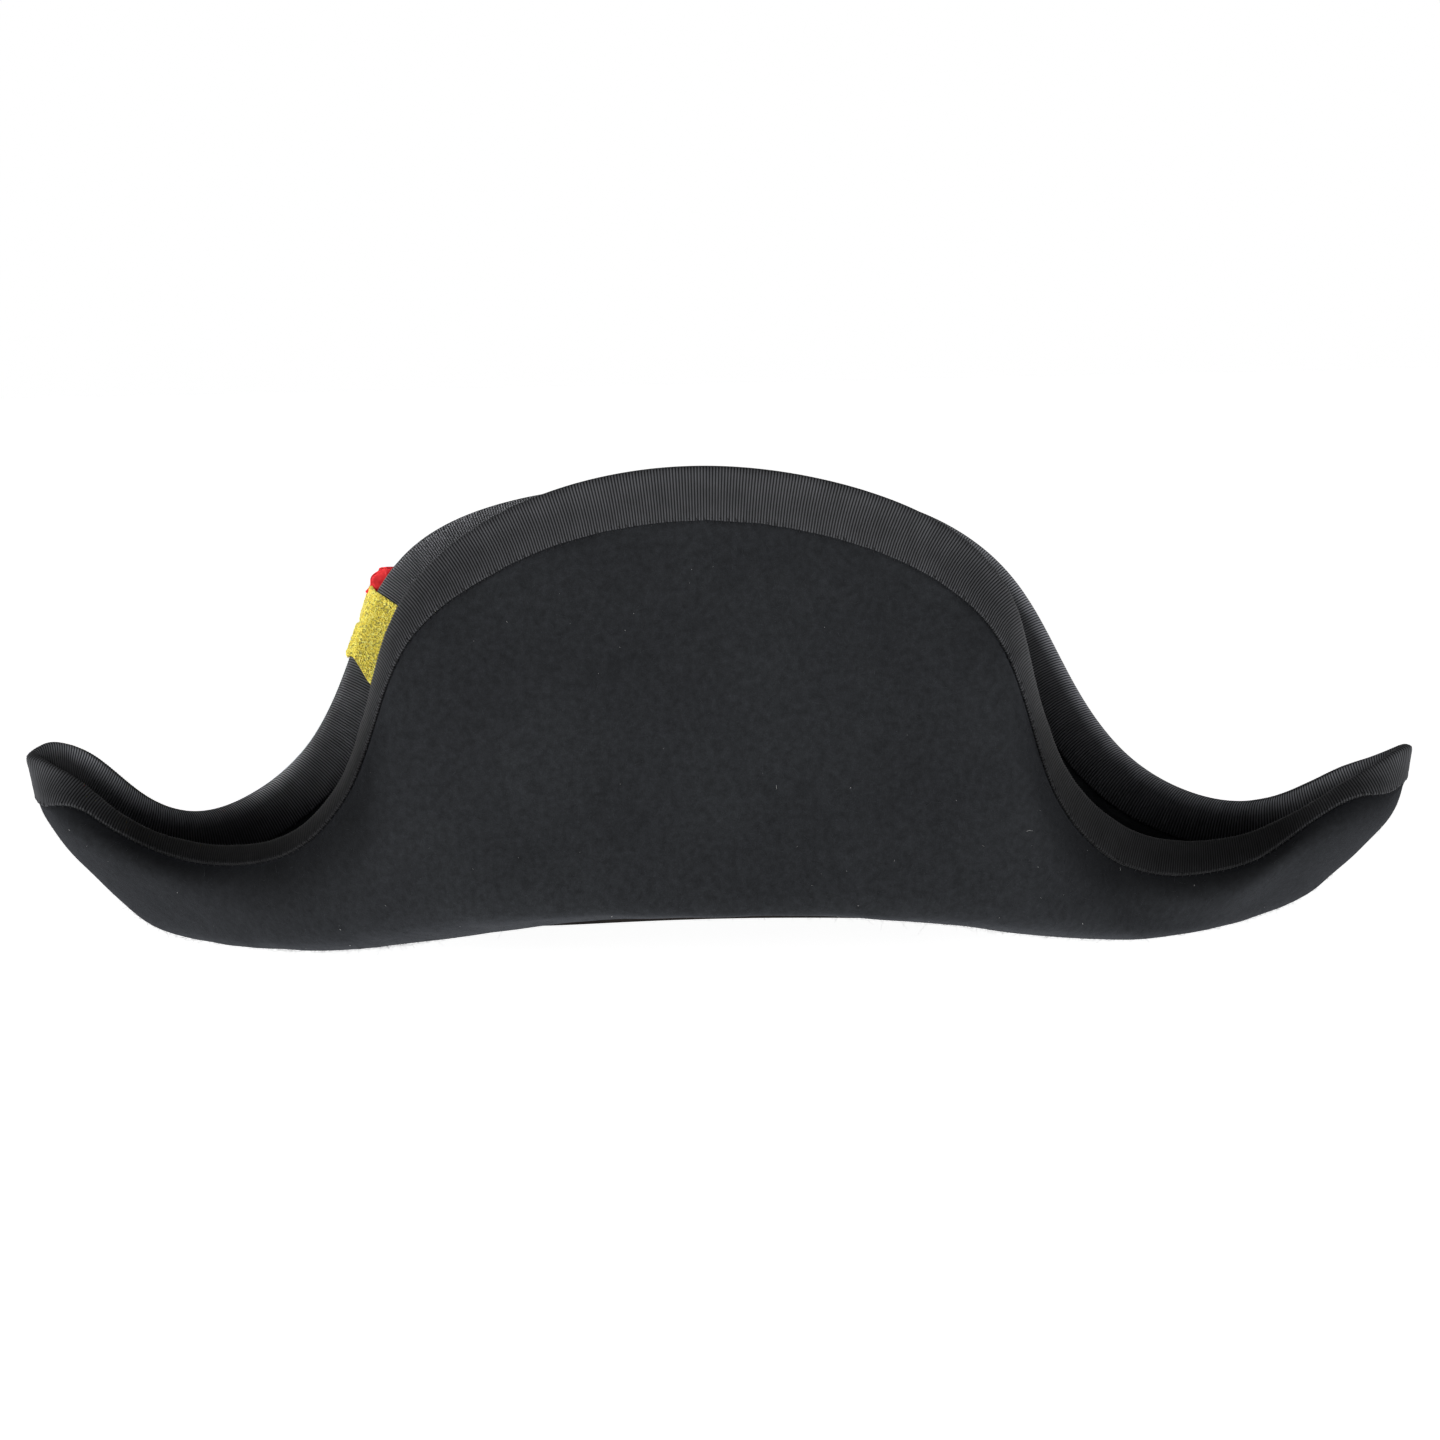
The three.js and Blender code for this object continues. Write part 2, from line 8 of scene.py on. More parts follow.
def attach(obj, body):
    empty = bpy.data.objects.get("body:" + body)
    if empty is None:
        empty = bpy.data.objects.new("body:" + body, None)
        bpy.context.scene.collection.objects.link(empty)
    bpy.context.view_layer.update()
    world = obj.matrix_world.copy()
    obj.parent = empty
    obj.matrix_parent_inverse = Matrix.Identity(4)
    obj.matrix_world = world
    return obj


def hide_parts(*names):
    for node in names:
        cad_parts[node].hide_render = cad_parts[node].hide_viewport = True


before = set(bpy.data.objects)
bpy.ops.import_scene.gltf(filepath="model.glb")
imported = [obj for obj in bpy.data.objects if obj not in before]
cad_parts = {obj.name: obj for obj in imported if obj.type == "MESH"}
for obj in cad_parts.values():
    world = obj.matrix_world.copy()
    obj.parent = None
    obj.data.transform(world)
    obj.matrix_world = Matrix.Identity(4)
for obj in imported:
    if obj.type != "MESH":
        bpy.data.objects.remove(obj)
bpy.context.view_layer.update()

# Black wool felt bicorne hat. The shape's sizes are millimetres, in a frame whose middle is the crown's,
# and FRAME_SHIFT carries them to the model's frame.
FRAME_SHIFT = np.array([-1.0, 3.1, -0.8])
MM = 0.001

# Crown and felt
CROWN_HALF_X = 83.3
CROWN_HALF_Y = 101.3
CROWN_TOP = 125.0
# share of the crown's plan and depth below its top, down over its rounded shoulder
CROWN_PROFILE = ((0.5, 0), (0.93, 2), (0.99, 40))
CROWN_FOOT_HEIGHT = 22
CROWN_TUCK = 1.5
CROWN_BASE_AT_SIDES = 10.0
CROWN_BASE_AT_ENDS = 20.5
FELT_HALF = 1.2
SHAVED_HALF = 0.7
CLEARANCE = 0.3
RESTING_HEIGHT = 0.8
RESTING_BLEND = 0.8

# Plan of the low fold that runs all round between the brim's floor and its flaps
FOLD_REACH_X = 200.0
FOLD_HALF_DEPTH_Y = 114.0
FOLD_REACH_POWER = 3.3
FOLD_ROUND_POWER = 1.7
CROWN_TO_FOLD_SPREAD = 175.0
BRIM_SHARES = (0.33, 0.7)
BRIM_SAG = 1
BRIM_SAG_MORE_AT_TIPS = 3

# Flaps, from the low fold up to the strip along the bound edge
FLAP_LOW_SHARE = 0.25
FLAP_HIGH_SHARE = 0.62
FLAP_FULLNESS = 2
LIP_WIDTH = 21.0
LIP_MIDDLE_SHARE = 0.45

# Bound edge
BINDING_WIDTH = 17.0
# station, width of the ribbon there: it is pulled narrower round the two points
BINDING_WIDTHS = ((0, 15), (1, 14), (2, 13), (2.5, 12), (3, 13.3), (4, 14), (5, 16), (6, 17), (20, 17),
                  (21, 13.5), (21.5, 12), (22, 11), (26, 11), (28, 15), (30, 17), (46, 17), (48, 15))
# station, how far the far flap's very edge is curled away from the onlooker
EDGE_CURLS = ((24.5, 0), (26, 3.5), (32.5, 3.5), (35, 0), (42, 0), (43, 3.5), (46.5, 3.5), (47.5, 0))
CURL_DEPTH = 12.0
# painted shade in the folds: first and last station of each, and how far the shade reaches below the ribbon
PAINTED_FOLD_SHADES = ((3.4, 5.2, 13), (5.3, 7.3, 46), (16.5, 18.0, 42), (18.0, 20.5, 11))
PAINTED_FOLD_SHADE_SOFTNESS = 0.8
DARKEST_PAINTED_FOLD_SHADE = 0.3
# painted highlight along the ribbon's fold, much stronger on the rim inside the far flap: how much paler,
# and down to what distance from the edge
EDGE_HIGHLIGHT = 0.35
FAR_RIM_HIGHLIGHT = 5.5
EDGE_HIGHLIGHT_DEPTH = 9.0
FAR_RIM_HIGHLIGHT_DEPTH = 5.5

# Stations round the brim. fold and rise place the low fold: its distance along X and its height.
# x, y and z are the bound edge. face is the way the flap looks, in degrees from +X,
# and flare is how far the flap's last strip leans out from upright, in degrees.
STATION_COLUMNS = ("fold", "rise", "x", "y", "z", "face", "flare")
STATION_ROWS = (
    # tip at the wearer's left, then along the back flap
    (196, 3.5, 236.4, 0, 64, 0, 20),
    (193, 2.5, 231.7, 5.5, 64.6, 53, 10),
    (188, 0.8, 217.8, 9, 56.9, 86, -60),
    (179, 1.5, 204.3, 12, 42.7, 95, -76),
    (165, 2.2, 183.5, 20, 34.7, 93, -72),
    (149, 3.5, 160.9, 34, 33.6, 90, -77),
    (131, 6.5, 137.4, 57, 39.6, 90, -78),
    (114, 12, 117.6, 75, 63.1, 90, -78),
    (98, 17.5, 109.7, 85, 93.4, 90, -78),
    (81, 20, 101.6, 90, 121.1, 90, -61),
    (61, 22, 75.5, 98, 144.7, 90, -22),
    (32, 22, 40.1, 103, 157.9, 90, -5),
    (0, 21.5, 0, 104, 161.5, 90, 0),
    (-32, 20.5, -42.1, 103, 153.9, 90, -5),
    (-61, 18.5, -76.5, 98, 138.7, 90, -15),
    (-81, 16, -93.6, 91, 117.1, 90, -55),
    (-97, 12.5, -98.1, 85, 87.3, 90, -78),
    (-113, 8.5, -108, 74, 55.9, 90, -64),
    (-130, 4.5, -130.7, 57, 35, 90, -47),
    (-147, 1.5, -153.9, 38, 29.3, 90, -57),
    (-163, 0.5, -177.3, 24, 30.1, 88, -68),
    (-178, 1, -196.1, 15, 38, 84, -77),
    (-188, 2.5, -213, 10, 47.4, 88, -69),
    (-193, 4.5, -227.2, 5.5, 57.1, 124, 4),
    # tip at the wearer's right, then along the front flap
    (-196, 5.5, -234.5, 0, 58.5, 180, 22),
    (-193, 4.5, -226.8, -5.5, 56.4, 236, 14),
    (-188, 2.2, -212, -10, 48, 262, -30),
    (-178, 0.8, -195.8, -15, 38.5, 270, -28),
    (-163, 0.6, -178.1, -27, 34, 270, -14),
    (-147, 1.6, -158.8, -42, 38.6, 270, -6),
    (-131, 5, -140.3, -60, 50.7, 270, -2),
    (-115, 10, -126.7, -80, 72.2, 270, 0),
    (-100, 13, -116.3, -92, 97, 270, 0),
    (-83, 15.5, -102.4, -98, 118.9, 270, -2),
    (-62, 18.5, -76.8, -102, 136.6, 270, -4),
    (-32, 20.5, -42, -104, 146, 270, -3),
    (0, 21.5, 0, -104, 149, 270, 0),
    (32, 22, 44, -104.5, 148.5, 270, 0),
    (62, 21, 82, -105, 143, 270, 0),
    (86, 18.5, 111.8, -105.5, 130, 270, 3),
    (103, 16, 128.3, -105, 106.6, 271, 3),
    (116, 12, 135.5, -99, 83.6, 273, -2),
    (131, 7, 146.6, -82, 57.5, 272, -6),
    (148, 3.2, 164.5, -58, 42.8, 270, -8),
    (165, 1.2, 182, -36, 36.6, 270, -14),
    (180, 1.6, 200, -19, 43.7, 270, -28),
    (188, 2.5, 214.3, -10, 61, 278, -30),
    (193, 3.5, 227.3, -5.5, 70.4, 304, 14),
)
STATIONS = [dict(zip(STATION_COLUMNS, row)) for row in STATION_ROWS]
LEFT_TIP = 0
RIGHT_TIP = 24
COUNT = len(STATIONS)


# The surface half way through the felt

def fold_half_depth(x):
    inside = max(0.0, 1 - (abs(x) / FOLD_REACH_X) ** FOLD_REACH_POWER)
    return FOLD_HALF_DEPTH_Y * inside ** FOLD_ROUND_POWER


def fold_point(index):
    station = STATIONS[index]
    if index in (LEFT_TIP, RIGHT_TIP):
        return np.array([station["fold"], 0.0, station["rise"]])
    side = 1 if index < RIGHT_TIP else -1
    return np.array([station["fold"], side * fold_half_depth(station["fold"]), station["rise"]])


def crown_base_height(sine):
    return CROWN_BASE_AT_SIDES + (CROWN_BASE_AT_ENDS - CROWN_BASE_AT_SIDES) * sine ** 2


def edge_point(index):
    station = STATIONS[index % COUNT]
    return np.array([station["x"], station["y"], station["z"]], float)


def rib_controls(index):
    """Control points of one rib, from the crown's middle out over the brim to the bound edge."""
    station = STATIONS[index]
    fold = fold_point(index)
    theta = math.atan2(fold[1] / FOLD_HALF_DEPTH_Y, fold[0] / CROWN_TO_FOLD_SPREAD)
    c, s = math.cos(theta), math.sin(theta)
    base_z = crown_base_height(s)

    def crown(scale, height):
        return np.array([CROWN_HALF_X * c * scale, CROWN_HALF_Y * s * scale, height])

    face = math.radians(station["face"])
    flare = math.radians(station["flare"])
    out = np.array([math.cos(face), math.sin(face), 0.0])
    along = edge_point(index + 1) - edge_point(index - 1)
    along -= along.dot(out) * out
    along /= np.linalg.norm(along)
    lean = math.cos(flare) * np.cross(out, along) + math.sin(flare) * out
    edge = edge_point(index)
    lip = edge - LIP_WIDTH * lean
    base = crown(1, base_z)
    sag = np.array([0, 0, BRIM_SAG + BRIM_SAG_MORE_AT_TIPS * c * c])
    return np.array([
        [0, 0, CROWN_TOP],
        *(crown(scale, CROWN_TOP - drop) for scale, drop in CROWN_PROFILE),
        crown(1, base_z + CROWN_FOOT_HEIGHT),
        crown(1, base_z - CROWN_TUCK),
        *(base + share * (fold - base) - sag for share in BRIM_SHARES),
        fold,
        fold + FLAP_LOW_SHARE * (lip - fold),
        fold + FLAP_HIGH_SHARE * (lip - fold) + FLAP_FULLNESS * out,
        lip,
        edge - LIP_MIDDLE_SHARE * LIP_WIDTH * lean,
        edge,
    ])


RIBS = np.array([rib_controls(index) for index in range(COUNT)])
LAST_ROW = RIBS.shape[1] - 3


def rib_weights(t):
    """Cubic B-spline weights down a rib, where the knots are clamped at both ends."""
    degree = 3
    span = np.minimum(np.floor(t).astype(int), LAST_ROW - 1)

    def knot(k):
        return np.clip(span + k, 0, LAST_ROW)

    weights = [np.ones_like(t)]
    for j in range(1, degree + 1):
        saved = 0
        for r in range(j):
            right = knot(r + 1) - t
            left = t - knot(1 - j + r)
            share = weights[r] / (right + left)
            weights[r] = saved + right * share
            saved = left * share
        weights.append(saved)
    return span, weights


def felt_point(u, t):
    """Points half way through the felt at station u (it runs round) and row t (0 crown, 11 edge)."""
    u, t = np.broadcast_arrays(np.asarray(u, float), np.clip(np.asarray(t, float), 0, LAST_ROW))
    station = np.floor(u).astype(int)
    f = u - station
    round_weights = (
        (1 - f) ** 3 / 6,
        (3 * f ** 3 - 6 * f ** 2 + 4) / 6,
        (-3 * f ** 3 + 3 * f ** 2 + 3 * f + 1) / 6,
        f ** 3 / 6,
    )
    span, weights = rib_weights(t)
    point = np.zeros(u.shape + (3,))
    for i, a in enumerate(round_weights):
        for j, b in enumerate(weights):
            point += (a * b)[..., None] * RIBS[(station - 1 + i) % COUNT, span + j]
    return point


def felt_normal(u, t):
    """Unit normal on the side that faces the onlooker on the flaps, the floor below and the head inside."""
    step = 0.01
    around = felt_point(u + step, t) - felt_point(u - step, t)
    down = felt_point(u, np.minimum(t + step, LAST_ROW)) - felt_point(u, np.maximum(t - step, 2 * step))
    normal = np.cross(around, down)
    return normal / np.maximum(np.linalg.norm(normal, axis=-1, keepdims=True), 1e-12)


def off_felt(u, t, offset):
    """Points at an offset from the middle of the felt."""
    u, t = np.broadcast_arrays(np.asarray(u, float), np.asarray(t, float))
    offset = np.broadcast_to(np.asarray(offset, float), u.shape)
    return felt_point(u, t) + felt_normal(u, t) * offset[..., None]


# Distances over the felt, in from the bound edge and along it

TABLE_STEPS_PER_STATION = 8
DEEPEST_TABLE_ROW = 7.5
TABLE_ROW_STEP = 0.02
DISTANCE_STEP = 0.5
LONGEST_DISTANCE = 60.0
FINE_STEP = 0.01


def distance_table():
    """Walked distance in from the edge for a fan of rows, at steps round the hat."""
    stations = np.arange(COUNT * TABLE_STEPS_PER_STATION) / TABLE_STEPS_PER_STATION
    rows = np.arange(LAST_ROW, DEEPEST_TABLE_ROW, -TABLE_ROW_STEP)
    walk = felt_point(stations[:, None], rows[None, :])
    strides = np.linalg.norm(np.diff(walk, axis=1), axis=2)
    walked = np.concatenate([np.zeros((len(stations), 1)), np.cumsum(strides, axis=1)], axis=1)
    return stations, rows, walked


TABLE_STATIONS, TABLE_ROWS, TABLE_WALKED = distance_table()
DISTANCE_STEPS = np.arange(0, LONGEST_DISTANCE + DISTANCE_STEP / 2, DISTANCE_STEP)
ROW_AT_STEP = np.array([np.interp(DISTANCE_STEPS, walked, TABLE_ROWS) for walked in TABLE_WALKED])


def row_at_distance(u, distance):
    """Row at a distance in from the bound edge, measured over the felt."""
    u, distance = np.broadcast_arrays(np.asarray(u, float), np.asarray(distance, float))
    place = (u % COUNT) * TABLE_STEPS_PER_STATION
    low = np.floor(place).astype(int)
    f = place - low
    just_short = 0.01
    depth = np.clip(distance, 0, DISTANCE_STEPS[-1] - just_short) / DISTANCE_STEP
    step = np.floor(depth).astype(int)
    g = depth - step
    size = len(TABLE_STATIONS)
    first, second = ROW_AT_STEP[low % size], ROW_AT_STEP[(low + 1) % size]
    at = np.arange(first.size // first.shape[-1]).reshape(u.shape)
    first, second = first.reshape(-1, first.shape[-1]), second.reshape(-1, second.shape[-1])

    def pick(table):
        return table[at, step] * (1 - g) + table[at, step + 1] * g

    return pick(first) * (1 - f) + pick(second) * f


def edge_run():
    """Fine stations round the hat, and the distance along the bound edge to each of them."""
    fine = np.arange(0, COUNT + FINE_STEP / 10, FINE_STEP)
    path = felt_point(fine, np.full_like(fine, LAST_ROW))
    return fine, np.concatenate([[0], np.cumsum(np.linalg.norm(np.diff(path, axis=0), axis=1))])


FINE_STATIONS, RUN_AT_FINE = edge_run()
EDGE_LENGTH = RUN_AT_FINE[-1]


def edge_stations(number, phase=0.0):
    """Stations spread evenly along the bound edge, with their distances along it."""
    along = (np.arange(number) + phase) * EDGE_LENGTH / number
    return np.interp(along, RUN_AT_FINE, FINE_STATIONS) % COUNT, along


# The bound edge's own width and curl, the painted shade in its folds and the painted highlight along it

def binding_width(u):
    stations, widths = zip(*BINDING_WIDTHS)
    return np.interp(u % COUNT, stations, widths)


def edge_curl(u, distance):
    """How far the felt and its ribbon are bent away near the far flap's edge."""
    stations, curls = zip(*EDGE_CURLS)
    near_edge = np.clip(1 - distance / CURL_DEPTH, 0, 1)
    return np.interp(u % COUNT, stations, curls) * near_edge ** 2


def painted_fold_shade(u, t):
    """Share of the colour that is left by the painted shade in the folds at a station and row."""
    width = binding_width(u)
    top = row_at_distance(u, width)
    dark = np.zeros(np.broadcast(u, t).shape)
    for start, end, reach in PAINTED_FOLD_SHADES:
        inside = np.minimum(u % COUNT - start, end - u % COUNT) / PAINTED_FOLD_SHADE_SOFTNESS + 1
        foot = row_at_distance(u, width + reach)
        down = np.clip((t - foot) / (top - foot), 0, 1)
        dark = np.maximum(dark, np.clip(inside, 0, 1) * down * down * (3 - 2 * down))
    return 1 - (1 - DARKEST_PAINTED_FOLD_SHADE) * dark


def painted_edge_highlight(u, distance, offset):
    """How much paler the ribbon is along its fold, a painted highlight that is strongest inside the far
    flap.
    """
    stations, curls = zip(*EDGE_CURLS)
    inside_far_flap = np.interp(u % COUNT, stations, curls) / max(curls) * (offset < 0)
    everywhere = EDGE_HIGHLIGHT * np.clip(1 - distance / EDGE_HIGHLIGHT_DEPTH, 0, 1)
    far_rim = np.clip(1 - distance / FAR_RIM_HIGHLIGHT_DEPTH, 0, 1) ** 1.5
    return 1 + everywhere + FAR_RIM_HIGHLIGHT * inside_far_flap * far_rim


def lay_painted_light(piece, shade):
    """Writes the painted shade and painted highlight at every point, as the share of the colour that the
    material multiplies by.
    """
    layer = piece.data.attributes.new("shade", "FLOAT", "POINT")
    layer.data.foreach_set("value", np.asarray(shade, dtype=np.float32).ravel())


# Resting level and unevenness

def soft_floor(points, above):
    """Presses points gently up to the level on which the hat rests, or to a height above it."""
    height = points[..., 2] - RESTING_HEIGHT - above
    blended = np.where(
        height < -RESTING_BLEND, 0,
        np.where(height > RESTING_BLEND, height, (height + RESTING_BLEND) ** 2 / (4 * RESTING_BLEND)),
    )
    points[..., 2] = RESTING_HEIGHT + above + blended
    return points


def waviness(points, seed, shortest, longest, count=36):
    """Smooth seeded unevenness between about -1 and 1, from a sum of waves through space."""
    rng = np.random.default_rng(seed)
    directions = rng.normal(size=(count, 3))
    directions /= np.linalg.norm(directions, axis=1, keepdims=True)
    lengths = np.exp(rng.uniform(np.log(shortest), np.log(longest), count))
    phases = rng.uniform(0, 2 * np.pi, count)
    total = np.zeros(points.shape[:-1])
    for direction, length, phase in zip(directions, lengths, phases):
        total += np.sin(points @ direction * (2 * np.pi / length) + phase)
    return total / math.sqrt(count)


# Mesh builders

def new_object(name, points, faces, material, caps=()):
    """Makes one closed piece from points in millimetres, with its faces and caps turned outward."""
    points = (np.asarray(points).reshape(-1, 3) + FRAME_SHIFT) * MM
    volume = 0
    for k in range(1, faces.shape[1] - 1):
        first, second, third = (points[faces[:, corner]] for corner in (0, k, k + 1))
        volume += np.einsum("ij,ij->i", first, np.cross(second, third)).sum()
    polygons = faces.tolist() + [list(cap) for cap in caps]
    if volume < 0:
        polygons = [polygon[::-1] for polygon in polygons]
    mesh = bpy.data.meshes.new(name)
    mesh.from_pydata(points.tolist(), [], polygons)
    mesh.polygons.foreach_set("use_smooth", np.full(len(mesh.polygons), True))
    mesh.materials.append(material)
    mesh.update()
    piece = bpy.data.objects.new(name, mesh)
    bpy.context.collection.objects.link(piece)
    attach(piece, "root")
    return piece


def loop_faces(loops, size, closed=True):
    """Quads of closed loops standing side by side, in a closed round or in an open row."""
    i, k = np.meshgrid(np.arange(loops if closed else loops - 1), np.arange(size), indexing="ij")
    following, after = (i + 1) % loops, (k + 1) % size
    corners = (i * size + k, following * size + k, following * size + after, i * size + after)
    return np.stack([c.ravel() for c in corners], axis=1)


def tube_faces(count, rings, sides):
    """Triangles of many closed tubes, each of several rings of points."""
    triangles = []
    for ring in range(rings - 1):
        for side in range(sides):
            after = (side + 1) % sides
            a, b = ring * sides + side, ring * sides + after
            triangles += [(a, b, b + sides), (a, b + sides, a + sides)]
    last = (rings - 1) * sides
    for side in range(1, sides - 1):
        triangles.append((0, side + 1, side))
        triangles.append((last, last + side, last + side + 1))
    one = np.array(triangles)
    starts = (np.arange(count) * rings * sides)[:, None, None]
    return (one[None] + starts).reshape(-1, 3)


def tubes(paths, radii, sides=3):
    """Rings of points round many paths at once: paths (count, rings, 3), radii (count, rings)."""
    along = np.gradient(paths, axis=1)
    along /= np.maximum(np.linalg.norm(along, axis=2, keepdims=True), 1e-9)
    reference = np.where(np.abs(along[..., 2:3]) < 0.8, [0.0, 0.0, 1.0], [1.0, 0.0, 0.0])
    first = np.cross(along, reference)
    first /= np.linalg.norm(first, axis=2, keepdims=True)
    second = np.cross(along, first)
    angles = np.arange(sides) * 2 * np.pi / sides
    ring = first[:, :, None] * np.cos(angles)[:, None] + second[:, :, None] * np.sin(angles)[:, None]
    points = paths[:, :, None] + ring * radii[:, :, None, None]
    return points.reshape(-1, 3), tube_faces(len(paths), paths.shape[1], sides)


# Materials

def fill_ramp(ramp, stops):
    while len(ramp.elements) < len(stops):
        ramp.elements.new(0.5)
    for element, (position, color) in zip(ramp.elements, stops):
        element.position = position
        element.color = (*color, 1)


class Nodes:
    """A material's node tree, with a short way to add and link nodes."""

    def __init__(self, name):
        self.material = bpy.data.materials.new(name)
        self.material.use_nodes = True
        self.tree = self.material.node_tree
        self.shader = self.tree.nodes["Principled BSDF"]
        self.place = self.tree.nodes.new("ShaderNodeTexCoord").outputs["Object"]

    def add(self, kind, inputs=None, **settings):
        node = self.tree.nodes.new(kind)
        for key, value in settings.items():
            setattr(node, key, value)
        for key, value in (inputs or {}).items():
            if isinstance(value, bpy.types.NodeSocket):
                self.tree.links.new(value, node.inputs[key])
            else:
                node.inputs[key].default_value = value
        return node

    def noise(self, scale, detail=2.0, roughness=0.5, place=None):
        inputs = {"Vector": place or self.place, "Scale": scale, "Detail": detail, "Roughness": roughness}
        return self.add("ShaderNodeTexNoise", inputs).outputs["Fac"]

    def ramp(self, value, stops):
        node = self.add("ShaderNodeValToRGB", {"Fac": value})
        fill_ramp(node.color_ramp, stops)
        return node.outputs["Color"]

    def shade(self):
        """The painted shade and painted highlight that lay_painted_light laid on a piece's points, as a
        share of the colour.
        """
        return self.add("ShaderNodeAttribute", attribute_name="shade").outputs["Color"]

    def math(self, operation, a, b=0.0):
        return self.add("ShaderNodeMath", {0: a, 1: b}, operation=operation).outputs[0]

    def mix(self, factor, a, b, blend="MIX"):
        inputs = {"Factor": factor, 6: a, 7: b}
        return self.add("ShaderNodeMix", inputs, data_type="RGBA", blend_type=blend).outputs[2]

    def bump(self, height, distance, strength=1.0, normal=None):
        inputs = {"Height": height, "Distance": distance, "Strength": strength}
        if normal is not None:
            inputs["Normal"] = normal
        return self.add("ShaderNodeBump", inputs).outputs["Normal"]

    def set(self, **values):
        names = {"color": "Base Color", "specular": "Specular IOR Level", "sheen": "Sheen Weight"}
        for key, value in values.items():
            socket = self.shader.inputs[names.get(key, key.replace("_", " ").title())]
            if isinstance(value, bpy.types.NodeSocket):
                self.tree.links.new(value, socket)
            else:
                socket.default_value = value
        return self.material


def felt_material():
    n = Nodes("wool_felt")
    broad = n.noise(28.0, 3.0)
    mottle = n.noise(420.0, 4.0, 0.65)
    fibres = n.noise(2600.0, 3.0, 0.7)
    tone = n.ramp(mottle, ((0.3, (0.0170, 0.0179, 0.0192)), (0.7, (0.0292, 0.0310, 0.0337))))
    cloudy = n.ramp(broad, ((0.3, (0.88, 0.88, 0.9)), (0.7, (1.08, 1.09, 1.1))))
    color = n.mix(1.0, tone, cloudy, "MULTIPLY")
    specks = n.ramp(fibres, ((0.45, (0.9, 0.9, 0.9)), (0.72, (1.5, 1.52, 1.6))))
    color = n.mix(0.6, color, specks, "MULTIPLY")
    # painted shade from the points
    color = n.mix(1.0, color, n.shade(), "MULTIPLY")
    normal = n.bump(mottle, 0.0005, 0.35)
    normal = n.bump(fibres, 0.00022, 0.6, normal)
    return n.set(color=color, roughness=0.95, specular=0.12, sheen=0.05, sheen_roughness=0.5,
                 sheen_tint=(0.75, 0.82, 1.0, 1.0), normal=normal)


def ribbon_material():
    n = Nodes("grosgrain")
    uv = n.add("ShaderNodeUVMap", uv_map="weave").outputs["UV"]
    split = n.add("ShaderNodeSeparateXYZ", {"Vector": uv})
    # one unit of U is one rib; the cosine is halved and the node adds its own 0.5
    turn = n.math("MULTIPLY", split.outputs["X"], 2 * math.pi)
    groove = n.math("MULTIPLY_ADD", n.math("COSINE", turn), 0.5)
    patchy = n.noise(160.0, 3.0)
    thread = n.noise(3200.0, 2.0, 0.6)
    tone = n.ramp(patchy, ((0.3, (0.040, 0.041, 0.044)), (0.7, (0.052, 0.053, 0.057))))
    # painted shade in the grooves between the ribs and painted light on their crests
    dark = n.ramp(groove, ((0.0, (0.1, 0.1, 0.1)), (1.0, (2.1, 2.1, 2.1))))
    color = n.mix(1.0, tone, dark, "MULTIPLY")
    # painted shade and painted highlight from the points
    color = n.mix(1.0, color, n.shade(), "MULTIPLY")
    normal = n.bump(thread, 0.00008, 0.6)
    return n.set(color=color, roughness=0.7, specular=0.2, sheen=0.1, sheen_roughness=0.3, normal=normal)


def fibre_material(name, scale, low, high, **look):
    """Thread, loose wool or lint, whose tone wanders between two colours."""
    n = Nodes(name)
    return n.set(color=n.ramp(n.noise(scale), ((0.3, low), (0.7, high))), **look)


def leather_material():
    n = Nodes("dark_leather")
    grain = n.add("ShaderNodeTexVoronoi", {"Vector": n.place, "Scale": 1400.0}).outputs["Distance"]
    tone = n.ramp(n.noise(90.0, 3.0), ((0.3, (0.010, 0.0085, 0.008)), (0.7, (0.020, 0.016, 0.014))))
    return n.set(color=tone, roughness=0.8, specular=0.12, normal=n.bump(grain, 0.0001, 0.5))


def lame_material():
    n = Nodes("gold_lame")
    cells = n.add("ShaderNodeTexVoronoi", {"Vector": n.place, "Scale": 1600.0})
    grain = n.noise(3600.0, 2.0, 0.6)
    # painted glints: pale and dark cells in the colour stand in for light catching the metal threads
    painted_glints = n.ramp(cells.outputs["Color"], (
        (0.2, (0.20, 0.13, 0.003)), (0.38, (0.80, 0.58, 0.02)),
        (0.65, (0.95, 0.78, 0.06)), (0.85, (1.0, 0.95, 0.3))))
    threads = n.ramp(grain, ((0.3, (0.40, 0.27, 0.01)), (0.55, (1.0, 0.90, 0.20))))
    color = n.mix(0.4, painted_glints, threads)
    # painted shade from the points
    color = n.mix(1.0, color, n.shade(), "MULTIPLY")
    normal = n.bump(cells.outputs["Distance"], 0.0006, 1.0)
    normal = n.bump(grain, 0.0002, 0.8, normal)
    return n.set(color=color, metallic=0.1, roughness=0.45, specular=0.3, normal=normal)


def rosette_material(name, low, high):
    n = Nodes(name)
    tone = n.ramp(n.noise(260.0, 3.0), ((0.3, low), (0.7, high)))
    weave = n.noise(3000.0, 2.0, 0.6)
    crumple = n.noise(330.0, 1.0)
    normal = n.bump(weave, 0.0001, 0.6, n.bump(crumple, 0.0016, 0.9))
    return n.set(color=tone, roughness=0.6, specular=0.15, sheen=0.03, sheen_roughness=0.4, normal=normal)


def brass_material():
    n = Nodes("button_brass")
    scuff = n.noise(500.0, 4.0, 0.7)
    tone = n.ramp(scuff, ((0.3, (0.58, 0.40, 0.13)), (0.7, (0.78, 0.58, 0.24))))
    return n.set(color=tone, metallic=1.0, roughness=0.28, normal=n.bump(scuff, 0.00005, 0.5))


